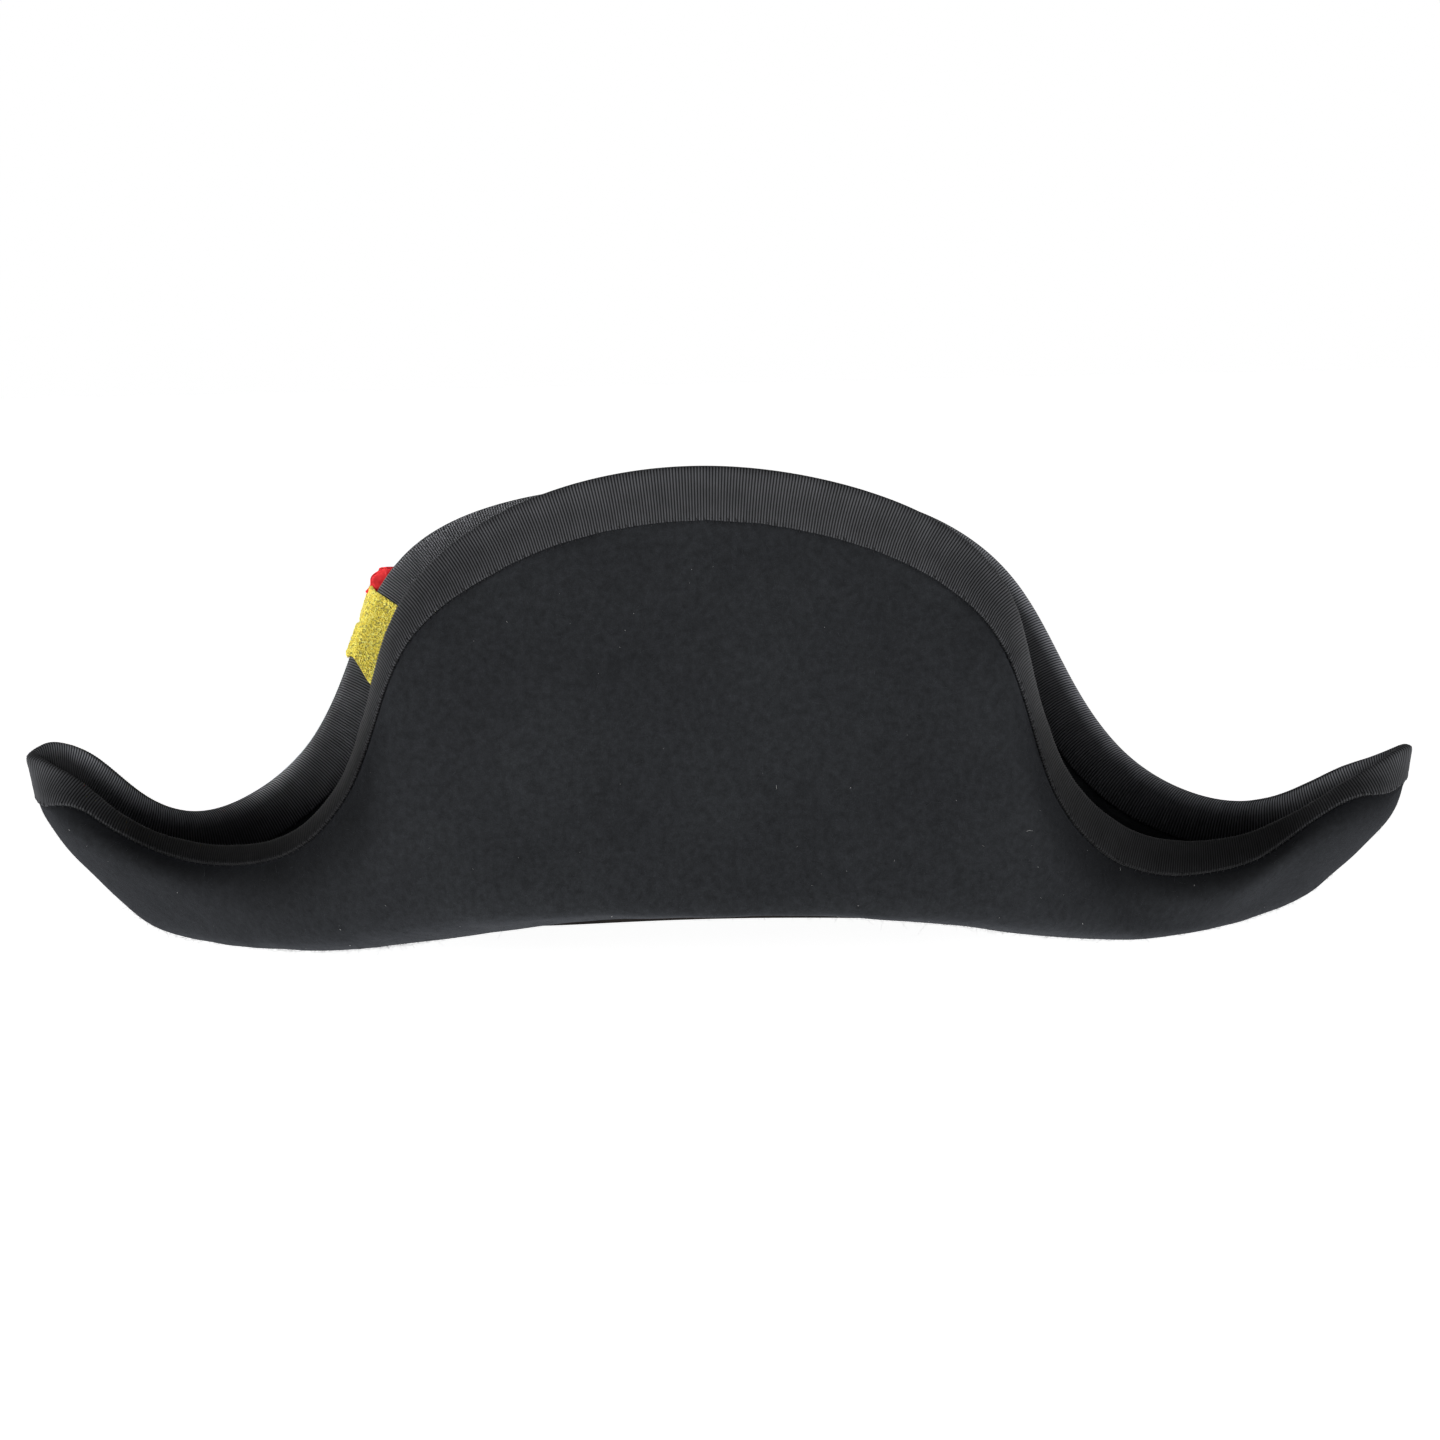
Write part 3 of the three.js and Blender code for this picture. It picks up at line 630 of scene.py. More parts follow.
FELT = felt_material()
RIBBON = ribbon_material()
THREAD = fibre_material("black_thread", 1500.0, (0.012, 0.012, 0.014), (0.03, 0.03, 0.033),
                        roughness=0.6, specular=0.3)
FIBRE = fibre_material("felt_fibre", 200.0, (0.02, 0.022, 0.026), (0.05, 0.054, 0.062),
                       roughness=0.7, specular=0.3)
PALE_LINT = fibre_material("pale_lint", 300.0, (0.42, 0.42, 0.42), (0.75, 0.75, 0.74), roughness=0.8)
LEATHER = leather_material()
LAME = lame_material()
RED = rosette_material("red_ribbon", (0.52, 0.012, 0.018), (0.82, 0.038, 0.04))
WHITE = rosette_material("white_ribbon", (0.66, 0.65, 0.62), (0.82, 0.81, 0.78))
BLUE = rosette_material("blue_ribbon", (0.010, 0.030, 0.17), (0.025, 0.075, 0.33))
BRASS = brass_material()


# The felt body

FELT_COLUMNS = 432
FELT_UNEVENNESS = 0.28
# painted shade: the felt's colour is a little darker toward the two points
POINT_SHADE_FROM_X = 110.0
POINT_SHADE_OVER = 70.0
PAINTED_SHADE_AT_POINTS = 0.32
# first row, last row and number of rows of each stretch, closer together where the felt bends
FELT_STRETCHES = ((0.05, 2.0, 9), (2.0, 3.4, 7), (3.4, 5.0, 13), (5.0, 8.0, 22), (8.0, 9.75, 22))
# rows from there to just below the ribbon
BLEND_ROWS = 8
BLEND_FROM_SHARE = 0.2
BLEND_TO_BELOW_RIBBON = 1.2
# rows of the shaved felt under the ribbon, as shares of the ribbon's width
COVERED_SHARES = (0.976, 0.7, 0.41, 0.2, 0.07)
SMOOTH_ROWS_AT_CROWN_TOP = 3


def felt_rows():
    return np.concatenate([np.linspace(a, b, number, endpoint=False) for a, b, number in FELT_STRETCHES])


def felt_skin(side):
    """One face of the felt, from the crown's middle to the shaved edge under the ribbon, and its painted
    shade.
    """
    u = (np.arange(FELT_COLUMNS) * COUNT / FELT_COLUMNS)[:, None]
    main = np.broadcast_to(felt_rows()[None, :], (FELT_COLUMNS, len(felt_rows())))
    start = main[:, -1:]
    width = binding_width(u)
    band = row_at_distance(u, width + BLEND_TO_BELOW_RIBBON)
    blend = start + (band - start) * np.linspace(BLEND_FROM_SHARE, 1, BLEND_ROWS)[None, :]
    covered_at = width * np.array(COVERED_SHARES)[None, :]
    covered = np.concatenate([row_at_distance(u, d[:, None]) for d in covered_at.T], axis=1)
    rows = np.concatenate([main, blend, covered], axis=1)
    half = np.full(rows.shape, FELT_HALF)
    half[:, -covered.shape[1]:] = SHAVED_HALF
    offset = side * half
    offset[:, -covered.shape[1]:] += edge_curl(u, covered_at)
    points = off_felt(np.broadcast_to(u, rows.shape), rows, offset)
    lump = waviness(points, 5, 16, 60) * FELT_UNEVENNESS
    lump[:, -covered.shape[1] - 1:] = 0
    lump[:, :SMOOTH_ROWS_AT_CROWN_TOP] = 0
    normals = felt_normal(np.broadcast_to(u, rows.shape), rows)
    points = points + normals * lump[..., None]
    points = soft_floor(points, 0 if side > 0 else 2 * FELT_HALF)
    # painted shade in the folds and toward the two points
    toward_points = np.clip((np.abs(points[..., 0]) - POINT_SHADE_FROM_X) / POINT_SHADE_OVER, 0, 1)
    return points, painted_fold_shade(u, rows) * (1 - PAINTED_SHADE_AT_POINTS * toward_points)


def felt_body():
    outer, shade = felt_skin(1)
    inner, _ = felt_skin(-1)
    points = np.concatenate([outer, inner[:, ::-1]], axis=1)
    columns, size = points.shape[:2]
    quads = loop_faces(columns, size).reshape(columns, size, 4)[:, :-1].reshape(-1, 4)
    # the two small round holes at the crown's middle are closed by one many-sided face each
    first = np.arange(columns) * size
    caps = (first[::-1].tolist(), (first + size - 1).tolist())
    piece = new_object("hat_felt", points, quads, FELT, caps)
    lay_painted_light(piece, np.concatenate([shade, shade[:, ::-1]], axis=1))
    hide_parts("felt_body")
    return piece


# Ribbon binding with its ribs and stitches

RIB_PITCH = 0.97
RIB_HEIGHT = 0.2
SAMPLES_PER_RIB = 3
STITCH_PITCH = 2.7
STITCH_RADIUS = 0.13
STITCH_PULL = 0.05
# the ribbon's lower edges waver by this, with so many turns of the line round the hat
WAVER = 0.1
WAVER_POINTS = 220
SWELL = 0.12
DEEPEST_SWELL = -0.08
WEAVE_DEPTH = 20
RIBBON_FACE = (
    # distance in from the edge, offset from the felt's middle, share of the rib's height
    (17.0, 1.75, 0.6), (16.4, 2.0, 1), (12.6, 2.0, 1), (8.8, 2.0, 1), (5.0, 2.0, 1),
    (3.6, 2.0, 1), (2.4, 1.98, 1), (0.75, 1.72, 1), (0.1, 1.0, 1),
)
BINDING_SECTION = (
    *RIBBON_FACE, (-0.15, 0.0, 1), *((away, -offset, share) for away, offset, share in RIBBON_FACE[::-1]),
    (16.8, -1.0, 0), (1.0, -1.0, 0), (1.0, 1.0, 0), (16.8, 1.0, 0),
)
LOWER_EDGE_FROM = 16
STITCH_STEPS = (
    # distance in from the edge, offset from the felt's middle, step along the edge
    (15.9, 1.75, -0.35), (16.3, 2.08, -0.25), (16.9, 1.98, 0.0), (17.35, 1.5, 0.2), (17.7, 1.0, 0.3),
)


def beyond_edge(u, distance, offset):
    """Point off the felt, also for small negative distances, which lie past the felt's edge."""
    row = row_at_distance(u, np.maximum(distance, 0))
    point = off_felt(u, row, offset)
    edge = felt_point(u, np.full_like(u, LAST_ROW))
    inward = felt_point(u, np.full_like(u, LAST_ROW - 0.05))
    outward = edge - inward
    outward /= np.linalg.norm(outward, axis=-1, keepdims=True)
    return point + outward * np.maximum(-distance, 0)[..., None]


def ribbon_binding():
    # whole ribs only, so that the last rib meets the first
    u, along = edge_stations(round(EDGE_LENGTH / RIB_PITCH) * SAMPLES_PER_RIB)
    rib = np.cos(2 * np.pi * np.arange(len(u)) / SAMPLES_PER_RIB)
    rib = rib - rib.mean()
    pull = np.cos(2 * np.pi * along / STITCH_PITCH)
    rng = np.random.default_rng(11)
    turns = np.linspace(0, along[-1], WAVER_POINTS)
    waver = np.interp(along, turns, rng.normal(size=WAVER_POINTS)) * WAVER
    section = np.array(BINDING_SECTION)
    distance = section[None, :, 0] * binding_width(u)[:, None] / BINDING_WIDTH
    offset = np.repeat(section[None, :, 1], len(u), axis=0)
    share = section[None, :, 2]
    lower = section[:, 0] > LOWER_EDGE_FROM
    distance[:, lower] += (STITCH_PULL * pull + waver)[:, None]
    sign = np.sign(section[:, 1])[None, :]
    visible = share > 0
    offset = offset + sign * share * RIB_HEIGHT * rib[:, None]
    droop = np.where(lower & visible[0], STITCH_PULL, 0)
    offset = offset - sign * droop[None, :] * (1 - pull[:, None])
    swell = SWELL * waviness(felt_point(u, np.full_like(u, LAST_ROW - 0.4)), 21, 9, 30)
    offset = offset + sign * visible * np.maximum(swell, DEEPEST_SWELL)[:, None]
    stations = np.repeat(u[:, None], len(section), axis=1)
    offset = offset + edge_curl(stations, distance)
    points = beyond_edge(stations, distance, offset)
    faces = loop_faces(len(u), len(section))
    piece = new_object("ribbon_binding", points, faces, RIBBON)
    lay_weave(piece, len(u), len(section), section[:, 0])
    # painted shade in the folds, and painted highlight along the edge's fold that is strongest inside the
    # far flap
    shade = painted_fold_shade(stations, np.full(stations.shape, float(LAST_ROW)))
    lay_painted_light(piece, shade * painted_edge_highlight(stations, distance, section[None, :, 1]))
    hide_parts("edge_binding")
    return piece


def lay_weave(piece, columns, size, distances):
    """Writes a UV map: one unit of U is one rib, and one of V is WEAVE_DEPTH in from the edge."""
    mesh = piece.data
    layer = mesh.uv_layers.new(name="weave")
    corner = np.empty(len(mesh.loops), int)
    mesh.loops.foreach_get("vertex_index", corner)
    column, point = corner // size, corner % size
    face_of = np.repeat(np.arange(len(mesh.polygons)), 4)
    first = column.reshape(-1, 4).min(axis=1)[face_of]
    last = column.reshape(-1, 4).max(axis=1)[face_of]
    wrapped = (last - first > columns // 2) & (column < columns // 2)
    along = (column + np.where(wrapped, columns, 0)) / SAMPLES_PER_RIB
    uv = np.stack([along, distances[point] / WEAVE_DEPTH], axis=1)
    layer.data.foreach_set("uv", uv.ravel())


def stitches():
    """Short slanting stitches that hold both edges of the ribbon down."""
    u, _ = edge_stations(round(EDGE_LENGTH / STITCH_PITCH), 0.5)
    stations_per_mm = np.gradient(np.unwrap(u, period=COUNT)) / STITCH_PITCH
    rng = np.random.default_rng(3)
    paths = []
    for side in (1, -1):
        slant = rng.uniform(0.6, 1.4, len(u))
        path = []
        for distance, offset, step in STITCH_STEPS:
            station = u + step * slant * stations_per_mm
            row = row_at_distance(station, distance + binding_width(station) - BINDING_WIDTH)
            path.append(off_felt(station, row, side * offset))
        paths.append(np.stack(path, axis=1))
    paths = np.concatenate(paths)
    radii = np.full(paths.shape[:2], STITCH_RADIUS)
    points, faces = tubes(paths, radii, sides=5)
    return new_object("binding_stitches", points, faces, THREAD)


# Sweatband

SWEATBAND_COLUMNS = 288
SWEATBAND_TOP_ROW = 2.9
SWEATBAND_PROFILE = (
    # depth into the head opening, height over the crown's base
    (0.0, -3.1), (0.0, 10.0), (0.0, 28.0), (0.25, 28.15), (0.75, 28.15), (1.0, 27.9), (1.0, 10.0),
    (1.0, 0.5), (1.25, -1.6), (1.3, -2.4), (1.1, -3.1), (0.7, -3.4), (0.25, -3.35),
)


def sweatband():
    u = np.arange(SWEATBAND_COLUMNS) * COUNT / SWEATBAND_COLUMNS
    row = np.full(SWEATBAND_COLUMNS, SWEATBAND_TOP_ROW)
    back = off_felt(u, row, FELT_HALF + 2 * CLEARANCE)
    inward = felt_normal(u, row) * [1, 1, 0]
    inward /= np.linalg.norm(inward, axis=1, keepdims=True)
    base = crown_base_height(back[:, 1] / CROWN_HALF_Y)
    loops = []
    for depth, height in SWEATBAND_PROFILE:
        loop = back + inward * depth
        loop[:, 2] = base + height
        loops.append(loop)
    points = np.stack(loops, axis=1)
    piece = new_object("inner_band", points, loop_faces(*points.shape[:2]), LEATHER)
    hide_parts("sweatband")
    return piece


# Cockade

COCKADE_X = 104.0
COCKADE_Z = 92.3
COCKADE_BACK_Y = -109.7
COCKADE_DEPTH = 4.0
# the rim is pressed flat on the side of the strap
COCKADE_PRESSED_TO = 27.3
COCKADE_PRESSED_DIRECTION = math.radians(18.5)
COCKADE_CREST_DIRECTION = math.radians(54)
COCKADE_FRONT_Y = COCKADE_BACK_Y - COCKADE_DEPTH
RING_COLUMNS = ("name", "node", "slot", "inner", "outer", "pleats", "scallop", "depth")
RINGS = [dict(zip(RING_COLUMNS, row)) for row in (
    ("rosette_red", "cockade_red", "ribbon_red", 21.3, 31.2, 21, 1.5, 2.6),
    ("rosette_white", "cockade_white", "ribbon_white", 11.3, 21.0, 18, 0.0, 3.0),
    ("rosette_blue", "cockade_blue", "ribbon_blue", 0.4, 11.0, 12, 0.0, 3.4),
)]
ROSETTE_LOOKS = {"rosette_red": RED, "rosette_white": WHITE, "rosette_blue": BLUE}
COLUMNS_PER_PLEAT = 16
POINTS_ACROSS_RING = 14
PLEAT_HEIGHT = 0.6
PLEAT_SIZES = (0.75, 1.1)
PLEAT_AT_INNER_EDGE = 0.35
CREASE_SHARE = 0.35
CREASE_PHASE = 0.6
CREASE_IN_SCALLOP = 0.25
RING_THINNED_BY = 0.1
RIM_ROLL_FROM = 0.82
BACK_PLEAT_SHARE = 0.35
BACK_PLEAT_LOWEST = -0.2
# direction in degrees and radius of the red ring's rim where it shows past the flap's edge
RED_RIM_THAT_SHOWS = ((36, 31.0), (42, 31.6), (45.5, 32.8), (50.5, 33.6), (55, 33.4), (59, 32.8), (62, 31.4),
                      (64.5, 30.2), (66, 28.2), (72, 28.2), (78, 31.0))
RIM_PUCKER = 0.3
PUCKERS_PER_PLEAT = 1.7


def ring_rim(ring, angle, phase, scallop):
    """Radius of a ring's rim: scalloped, puckered where the red shows, and pressed flat on one side."""
    rim = ring["outer"] + ring["scallop"] * scallop
    turned = np.cos(angle - COCKADE_PRESSED_DIRECTION)
    least = 0.05
    pressed = np.where(turned > least, COCKADE_PRESSED_TO / np.maximum(turned, least), np.inf)
    rim = np.minimum(rim, pressed)
    if ring["scallop"]:
        directions, radii = zip(*RED_RIM_THAT_SHOWS)
        degrees = np.degrees(angle) % 360
        shows = (degrees > directions[0]) & (degrees < directions[-1])
        pucker = RIM_PUCKER * np.cos(PUCKERS_PER_PLEAT * phase)
        rim = np.where(shows, np.interp(degrees, directions, radii) + pucker, rim)
    return rim


def pleated_ring(ring):
    columns = ring["pleats"] * COLUMNS_PER_PLEAT
    angle = COCKADE_CREST_DIRECTION + np.arange(columns) * 2 * np.pi / columns
    phase = ring["pleats"] * (angle - COCKADE_CREST_DIRECTION)
    rng = np.random.default_rng(ring["pleats"])
    size = np.repeat(rng.uniform(*PLEAT_SIZES, ring["pleats"]), COLUMNS_PER_PLEAT)
    size = np.roll(size, COLUMNS_PER_PLEAT // 2)
    wave = np.cos(phase) * size
    crease = np.cos(2 * phase + CREASE_PHASE) * CREASE_SHARE
    rim = ring_rim(ring, angle, phase, wave + CREASE_IN_SCALLOP * crease)
    share = np.linspace(0, 1, POINTS_ACROSS_RING)[None, :]
    radius = ring["inner"] + (rim[:, None] - ring["inner"]) * share
    growth = PLEAT_AT_INNER_EDGE + (1 - PLEAT_AT_INNER_EDGE) * share
    swing = PLEAT_HEIGHT * (wave + crease)[:, None] * growth
    past_roll = np.clip((share - RIM_ROLL_FROM) / (1 - RIM_ROLL_FROM), 0, 1)
    roll = np.sqrt(np.clip(1 - past_roll ** 2, 0.02, 1))
    middle = COCKADE_BACK_Y - ring["depth"] / 2
    thick = (ring["depth"] / 2 - RING_THINNED_BY) * roll
    front_y = middle - thick - np.clip(swing, -PLEAT_HEIGHT, PLEAT_HEIGHT)
    back_y = middle + thick - BACK_PLEAT_SHARE * np.maximum(swing, BACK_PLEAT_LOWEST)

    def sheet(y):
        return np.stack([
            COCKADE_X + radius * np.cos(angle)[:, None],
            np.broadcast_to(y, radius.shape),
            COCKADE_Z + radius * np.sin(angle)[:, None],
        ], axis=2)

    points = np.concatenate([sheet(front_y), sheet(back_y)[:, ::-1]], axis=1)
    faces = loop_faces(*points.shape[:2])
    piece = new_object(ring["name"], points, faces, ROSETTE_LOOKS[ring["name"]])
    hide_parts(ring["node"])
    return piece


BUTTON_COLUMNS = 64
BUTTON_PROFILE = (
    # radius, height over the button's back
    (0.3, 0.0), (6.8, 0.0), (7.7, 0.3), (8.0, 0.9), (7.8, 1.5), (7.2, 1.7), (6.8, 1.5),
    (6.3, 1.9), (5.4, 2.7), (4.2, 3.4), (2.8, 3.9), (1.4, 4.15), (0.3, 4.2),
)


def button():
    """Domed button with a raised rim, on the strap's end."""
    seat = COCKADE_FRONT_Y - STRAP_THICKNESS - STRAP_STEP - 2 * CLEARANCE
    angle = np.arange(BUTTON_COLUMNS) * 2 * np.pi / BUTTON_COLUMNS
    points = np.stack([
        np.stack([COCKADE_X + radius * np.cos(angle),
                  np.full(BUTTON_COLUMNS, seat - height),
                  COCKADE_Z + radius * np.sin(angle)], axis=1)
        for radius, height in BUTTON_PROFILE], axis=1)
    piece = new_object("strap_button", points, loop_faces(*points.shape[:2]), BRASS)
    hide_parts("cockade_button")
    return piece


# Gold strap

STRAP_FROM_STATION = 39.8
STRAP_TO_STATION = 40.8
STRAP_THICKNESS = 1.2
STRAP_STEP = 0.6
STRAP_THICKNESS_AT_SIDES = 0.35
STRAND_SQUARENESS = 6
STRAP_HALF_WIDTH_AT_BUTTON = 6.5
STRAP_OFF_EDGE = 0.5
STRAP_OFF_EDGE_MIDDLE = 1.2
STRAP_OVER_BINDING = 2.5
STRAP_OFF_RIM = 0.4
STRAP_PAST_BUTTON_MIDDLE = 4
STRAP_SHARES_OVER_COCKADE = (0.35, 0.7, 1)
# painted shade where the strap goes down inside the flap: distance in from the edge up to which the strap
# stays bright, and over which it then darkens
STRAP_BRIGHT_TO = 14
STRAP_PAINTED_SHADE_OVER = 18
STRAP_DARKEST_PAINTED_SHADE = 0.35
STRAP_GRAIN = 0.05
STRAP_ALONG = 120
STRAP_ACROSS = 41
STRAP_INSIDE = (
    # distance in from the edge, width of the upper and of the lower strand there
    (44, 0.4, 0.5), (36, 0.55, 0.75), (28, 0.72, 1.1), (21, 0.88, 1.35), (17, 0.96, 1.5), (12, 1, 1.5),
    (9, 1, 1.42), (5, 1, 1.2), (1.2, 1, 1),
)


def unit(vector):
    return vector / np.linalg.norm(vector)


def cockade_point(angle, radius, y):
    return np.array([COCKADE_X + radius * math.cos(angle), y, COCKADE_Z + radius * math.sin(angle)])


def strap_line(share):
    """One line along the strap at a share of its width: where it lies and the way its top faces."""
    middle = (STRAP_FROM_STATION + STRAP_TO_STATION) / 2
    breadth = STRAP_TO_STATION - STRAP_FROM_STATION
    line = []
    for distance, upper, lower in STRAP_INSIDE:
        width = lower if share > 0.5 else upper
        u = np.array(middle + (share - 0.5) * width * breadth)
        t = row_at_distance(u, distance)
        line.append((off_felt(u, t, -STRAP_OVER_BINDING), -felt_normal(u, t)))
    u = np.array(middle + (share - 0.5) * breadth)
    edge = felt_point(u, np.array(float(LAST_ROW)))
    outward = unit(edge - felt_point(u, np.array(LAST_ROW - 0.1)))
    across = felt_normal(u, np.array(float(LAST_ROW)))
    tip = edge + outward * STRAP_OFF_EDGE
    for side in (-1, 1):
        line.append((tip + across * side * STRAP_OFF_EDGE_MIDDLE, unit(outward + across * side)))
    angle = math.atan2(edge[2] - COCKADE_Z, edge[0] - COCKADE_X)
    pressed = COCKADE_PRESSED_TO / math.cos(angle - COCKADE_PRESSED_DIRECTION)
    rim = max(pressed, math.hypot(edge[0] - COCKADE_X, edge[2] - COCKADE_Z)) + STRAP_OFF_RIM
    facing = np.array([math.cos(angle), 0, math.sin(angle)])
    front_y = COCKADE_FRONT_Y - CLEARANCE
    front = np.array([0.0, -1.0, 0.0])
    line.append((cockade_point(angle, rim, COCKADE_BACK_Y), facing))
    start = cockade_point(angle, rim, front_y)
    line.append((start, unit(facing + front)))
    sideways = (0.5 - share) * 2 * STRAP_HALF_WIDTH_AT_BUTTON
    c, s = math.cos(COCKADE_PRESSED_DIRECTION), math.sin(COCKADE_PRESSED_DIRECTION)
    end = np.array([COCKADE_X - s * sideways - c * STRAP_PAST_BUTTON_MIDDLE, front_y,
                    COCKADE_Z + c * sideways - s * STRAP_PAST_BUTTON_MIDDLE])
    for along in STRAP_SHARES_OVER_COCKADE:
        line.append((start + (end - start) * along, front))
    return line


def smooth_path(points, number):
    """Evenly spread points on a Catmull-Rom curve through the given ones, the last of which may repeat."""
    points = np.asarray(points)
    ends = np.concatenate([[2 * points[0] - points[1]], points, [2 * points[-1] - points[-2]]])
    chords = np.linalg.norm(np.diff(points, axis=0), axis=1)
    knots = np.concatenate([[0], np.cumsum(chords)])
    where = np.linspace(0, knots[-1], number)
    index = np.clip(np.searchsorted(knots, where) - 1, 0, len(points) - 2)
    f = ((where - knots[index]) / chords[index])[:, None]
    a, b, c, d = (ends[index + k] for k in range(4))
    gap = chords[index][:, None]
    before = np.concatenate([chords[:1], chords])[index][:, None]
    after = np.concatenate([chords, chords[-1:]])[index + 1][:, None]
    slope_b = (c - a) * gap / (before + gap)
    slope_c = (d - b) * gap / (gap + after)
    return ((2 * f ** 3 - 3 * f ** 2 + 1) * b + (f ** 3 - 2 * f ** 2 + f) * slope_b
            + (-2 * f ** 3 + 3 * f ** 2) * c + (f ** 3 - f ** 2) * slope_c)


def strap_profile(share):
    """Height of the strap's two rounded strands over what they lie on."""
    strand = np.where(share < 0.5, share / 0.5, (share - 0.5) / 0.5)
    crown = (1 - np.abs(2 * strand - 1) ** STRAND_SQUARENESS) ** 0.5
    lift = np.where(share < 0.5, 0, STRAP_STEP)
    return STRAP_THICKNESS_AT_SIDES + (STRAP_THICKNESS - STRAP_THICKNESS_AT_SIDES + lift) * crown


def strap_faces(along, size):
    """Quads of the strap's loops, and of the two ends that close them."""
    sides = loop_faces(along, size, closed=False)
    j = np.arange(size // 2 - 1)
    start_cap = np.stack([j, j + 1, size - 2 - j, size - 1 - j], axis=1)
    end_cap = np.stack([j + 1, j, size - 1 - j, size - 2 - j], axis=1) + (along - 1) * size
    return np.concatenate([sides, start_cap, end_cap])


def gold_strap():
    under, over = [], []
    rng = np.random.default_rng(8)
    for share in np.linspace(0, 1, STRAP_ACROSS):
        line = strap_line(share)
        place = smooth_path([point for point, facing in line], STRAP_ALONG)
        facing = smooth_path([facing for point, facing in line], STRAP_ALONG)
        facing /= np.linalg.norm(facing, axis=1, keepdims=True)
        under.append(place)
        over.append(place + facing * strap_profile(share))
    under, over = np.stack(under, axis=1), np.stack(over, axis=1)
    # painted shade, deeper the further the strap reaches down inside the edge
    edge = under[:, STRAP_ACROSS // 2, 2].argmax()
    inside = np.linalg.norm(under - under[edge], axis=2) * (np.arange(STRAP_ALONG) < edge)[:, None]
    shade = 1 - (1 - STRAP_DARKEST_PAINTED_SHADE) * np.clip((inside - STRAP_BRIGHT_TO) / STRAP_PAINTED_SHADE_OVER, 0, 1)
    grain = rng.normal(size=over.shape[:2]) * STRAP_GRAIN
    over = over + grain[..., None] * (over - under)
    loops = np.concatenate([under, over[:, ::-1]], axis=1)
    piece = new_object("strap_gold", loops, strap_faces(*loops.shape[:2]), LAME)
    lay_painted_light(piece, np.concatenate([shade, shade[:, ::-1]], axis=1))
    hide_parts("gold_strap")
    return piece


# Loose fibres and lint

FIBRE_ROOT_DEPTH = 0.1
FIBRE_BEND = 0.5
FIBRE_DROOP = 0.45
FIBRE_OFF_TABLE = 0.06
FUZZ_RADII = (0.03, 0.026, 0.02, 0.008)
LINT_SHAPE = (0.8, 1, 0.9, 0.5)
LINT_STANDS = 0.25
LINT_ROWS = (5.2, 9.9)
FUZZ = (
    # name, side of the felt, number, seed, first and last row
    ("fuzz_outside", 1, 9000, 31, 5.0, 10.05),
    ("fuzz_low", 1, 8000, 33, 5.6, 8.4),
    ("fuzz_inside", -1, 6000, 32, 0.5, 10.05),
)
LINT = (
    # name, number, seed, shortest and longest, thinnest and thickest
    ("lint_specks", 260, 17, (0.08, 0.4), (0.04, 0.09)),
    ("lint_fibres", 34, 18, (0.8, 2.6), (0.025, 0.045)),
)


def scattered(rng, number, low_row, high_row):
    """Random stations and rows, spread evenly over the felt's area between two rows."""
    u = rng.uniform(0, COUNT, number * 4)
    t = rng.uniform(low_row, high_row, number * 4)
    step = 0.05
    wide = np.linalg.norm(felt_point(u + step, t) - felt_point(u, t), axis=1)
    tall = np.linalg.norm(felt_point(u, t + step) - felt_point(u, t), axis=1)
    area = wide * tall
    keep = rng.uniform(0, np.quantile(area, 0.98), number * 4) < area
    return u[keep][:number], t[keep][:number]


def fibres(rng, u, t, side, lengths, stand):
    """Curved fibres that start in the felt and lift off it."""
    root = off_felt(u, t, side * (FELT_HALF - FIBRE_ROOT_DEPTH))
    normal = felt_normal(u, t) * side
    root = soft_floor(root, 0.05 if side > 0 else 2 * FELT_HALF)
    drift = rng.normal(size=root.shape)
    drift -= np.einsum("ij,ij->i", drift, normal)[:, None] * normal
    drift /= np.linalg.norm(drift, axis=1, keepdims=True)
    bend = rng.normal(size=root.shape) * FIBRE_BEND
    paths = []
    for step in np.linspace(0, 1, len(FUZZ_RADII)):
        away = lengths * step
        lift = away * stand * (1 - FIBRE_DROOP * step)
        paths.append(root + normal * lift[:, None] + drift * away[:, None] + bend * (away * step)[:, None])
    paths = np.stack(paths, axis=1)
    paths[..., 2] = np.maximum(paths[..., 2], RESTING_HEIGHT + FIBRE_OFF_TABLE)
    return paths


def felt_fuzz(name, side, number, seed, low_row, high_row):
    """Short fine fibres of the felt's own wool."""
    rng = np.random.default_rng(seed)
    u, t = scattered(rng, number, low_row, high_row)
    lengths = rng.gamma(3.0, 0.32, len(u)) + 0.35
    paths = fibres(rng, u, t, side, lengths, rng.uniform(0.15, 0.9, len(u)))
    radii = np.tile(FUZZ_RADII, (len(u), 1)) * rng.uniform(0.7, 1.2, (len(u), 1))
    points, faces = tubes(paths, radii)
    return new_object(name, points, faces, FIBRE)


def lint(name, number, seed, lengths, thickness):
    """Pale fibres and specks caught on the felt."""
    rng = np.random.default_rng(seed)
    u, t = scattered(rng, number, *LINT_ROWS)
    lengths = rng.uniform(*lengths, len(u))
    paths = fibres(rng, u, t, 1, lengths, np.full(len(u), LINT_STANDS))
    radii = np.tile(LINT_SHAPE, (len(u), 1)) * rng.uniform(*thickness, (len(u), 1))
    points, faces = tubes(paths, radii, sides=4)
    return new_object(name, points, faces, PALE_LINT)


# Studio. Lights and distances are in metres, the camera's aim is in the hat's millimetres.

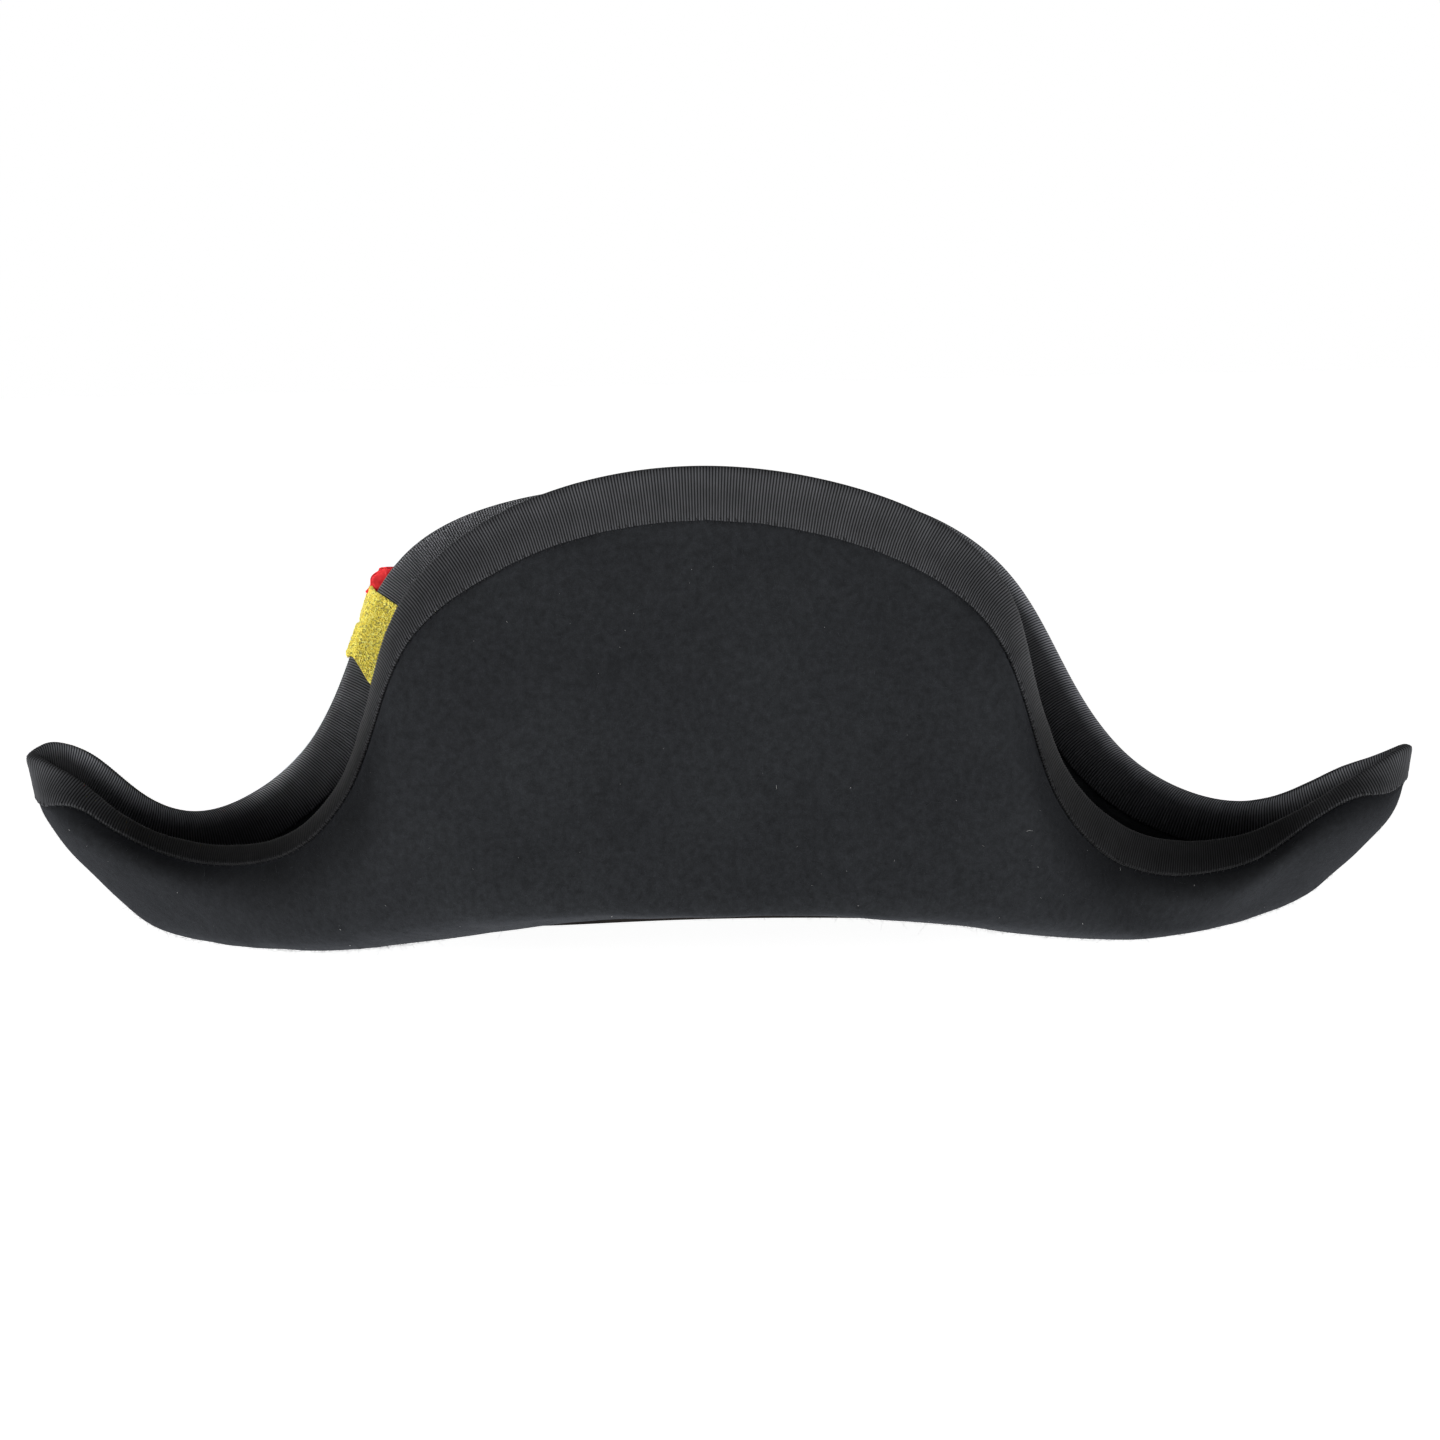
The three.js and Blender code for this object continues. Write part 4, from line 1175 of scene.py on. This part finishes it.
CAMERA_DISTANCE = 1.4
CAMERA_ELEVATION = math.radians(5)
CAMERA_AIM = (0.68, 0.0, 71.1)
CAMERA_ROLL = 0.02126
CAMERA_LENS = 103.27
SOFT_LIGHT_SIZE = (1.4, 0.4)
SOFT_LIGHT_TARGET = (0, 0, 0.08)
STRAP_BEAM_FROM = (1.2, 0.8, 0.9)
STRAP_BEAM_TO = (0.107, -0.1, 0.104)
STRAP_BEAM_WIDTH = math.radians(2.2)
STRAP_BEAM_POWER = 1200
STRAP_BEAM_LAMP_RADIUS = 0.08
FLOOR_REACH = 30
FLOOR_GLOW = 0.95
# sine of the height over the horizon, and the sky's brightness there
SKY = ((0.1, 1.0), (0.2, 0.35), (0.4, 0.09), (1.0, 0.05))


def camera():
    data = bpy.data.cameras.new("camera")
    data.sensor_width = 36
    data.lens = CAMERA_LENS
    data.clip_end = 100
    right = Vector((-1, 0, 0))
    up = Vector((0, -math.sin(CAMERA_ELEVATION), math.cos(CAMERA_ELEVATION)))
    turned_right = (right - up * CAMERA_ROLL).normalized()
    turned_up = (up + right * CAMERA_ROLL).normalized()
    back = turned_right.cross(turned_up)
    place = Vector((CAMERA_AIM + FRAME_SHIFT) * MM) + back * CAMERA_DISTANCE
    made = bpy.data.objects.new("camera", data)
    bpy.context.collection.objects.link(made)
    turn = Matrix((turned_right, turned_up, back)).transposed()
    made.matrix_world = Matrix.Translation(place) @ turn.to_4x4()
    bpy.context.scene.camera = made


def aimed_light(data, place, target):
    light = bpy.data.objects.new(data.name, data)
    light.location = place
    light.rotation_euler = (Vector(target) - Vector(place)).to_track_quat("-Z", "Y").to_euler()
    bpy.context.collection.objects.link(light)


def soft_light(name, place, power):
    data = bpy.data.lights.new(name, "AREA")
    data.shape = "RECTANGLE"
    data.size, data.size_y = SOFT_LIGHT_SIZE
    data.energy = power
    aimed_light(data, place, SOFT_LIGHT_TARGET)


def strap_light():
    """A narrow soft beam on the strap, from the onlooker's left and from above."""
    data = bpy.data.lights.new("strap_light", "SPOT")
    data.energy = STRAP_BEAM_POWER
    data.spot_size = STRAP_BEAM_WIDTH
    data.spot_blend = 1.0
    data.shadow_soft_size = STRAP_BEAM_LAMP_RADIUS
    aimed_light(data, STRAP_BEAM_FROM, STRAP_BEAM_TO)


def luminous_floor():
    """A pale floor that glows evenly, like a lit table, so the hat's shadow stays faint."""
    n = Nodes("studio_floor")
    tone = n.ramp(n.noise(6.0), ((0.3, (0.93, 0.93, 0.93)), (0.7, (0.96, 0.96, 0.96))))
    n.set(color=tone, roughness=0.9, specular=0.1)
    n.shader.inputs["Emission Color"].default_value = (1.0, 1.0, 1.0, 1)
    n.shader.inputs["Emission Strength"].default_value = FLOOR_GLOW
    corners = [(x * FLOOR_REACH, y * FLOOR_REACH, 0) for x, y in ((-1, -1), (1, -1), (1, 1), (-1, 1))]
    mesh = bpy.data.meshes.new("floor")
    mesh.from_pydata(corners, [], [(0, 1, 2, 3)])
    mesh.materials.append(n.material)
    floor = bpy.data.objects.new("floor", mesh)
    bpy.context.collection.objects.link(floor)


def horizon_world():
    """White near the horizon and dim overhead."""
    world = bpy.data.worlds.new("studio")
    world.use_nodes = True
    tree = world.node_tree
    place = tree.nodes.new("ShaderNodeTexCoord")
    split = tree.nodes.new("ShaderNodeSeparateXYZ")
    ramp = tree.nodes.new("ShaderNodeValToRGB")
    tree.links.new(place.outputs["Generated"], split.inputs[0])
    tree.links.new(split.outputs["Z"], ramp.inputs["Fac"])
    tree.links.new(ramp.outputs["Color"], tree.nodes["Background"].inputs["Color"])
    fill_ramp(ramp.color_ramp, [(height, (tone, tone, tone)) for height, tone in SKY])
    bpy.context.scene.world = world


def studio():
    horizon_world()
    bpy.context.scene.view_settings.view_transform = "Standard"
    soft_light("soft_left", (1.5, 1.5, 0.28), 9)
    strap_light()
    soft_light("soft_right", (-1.6, 1.3, 0.28), 5)
    luminous_floor()


camera()
felt_body()
ribbon_binding()
stitches()
sweatband()
for ring in RINGS:
    pleated_ring(ring)
gold_strap()
button()
for row in FUZZ:
    felt_fuzz(*row)
for row in LINT:
    lint(*row)
studio()
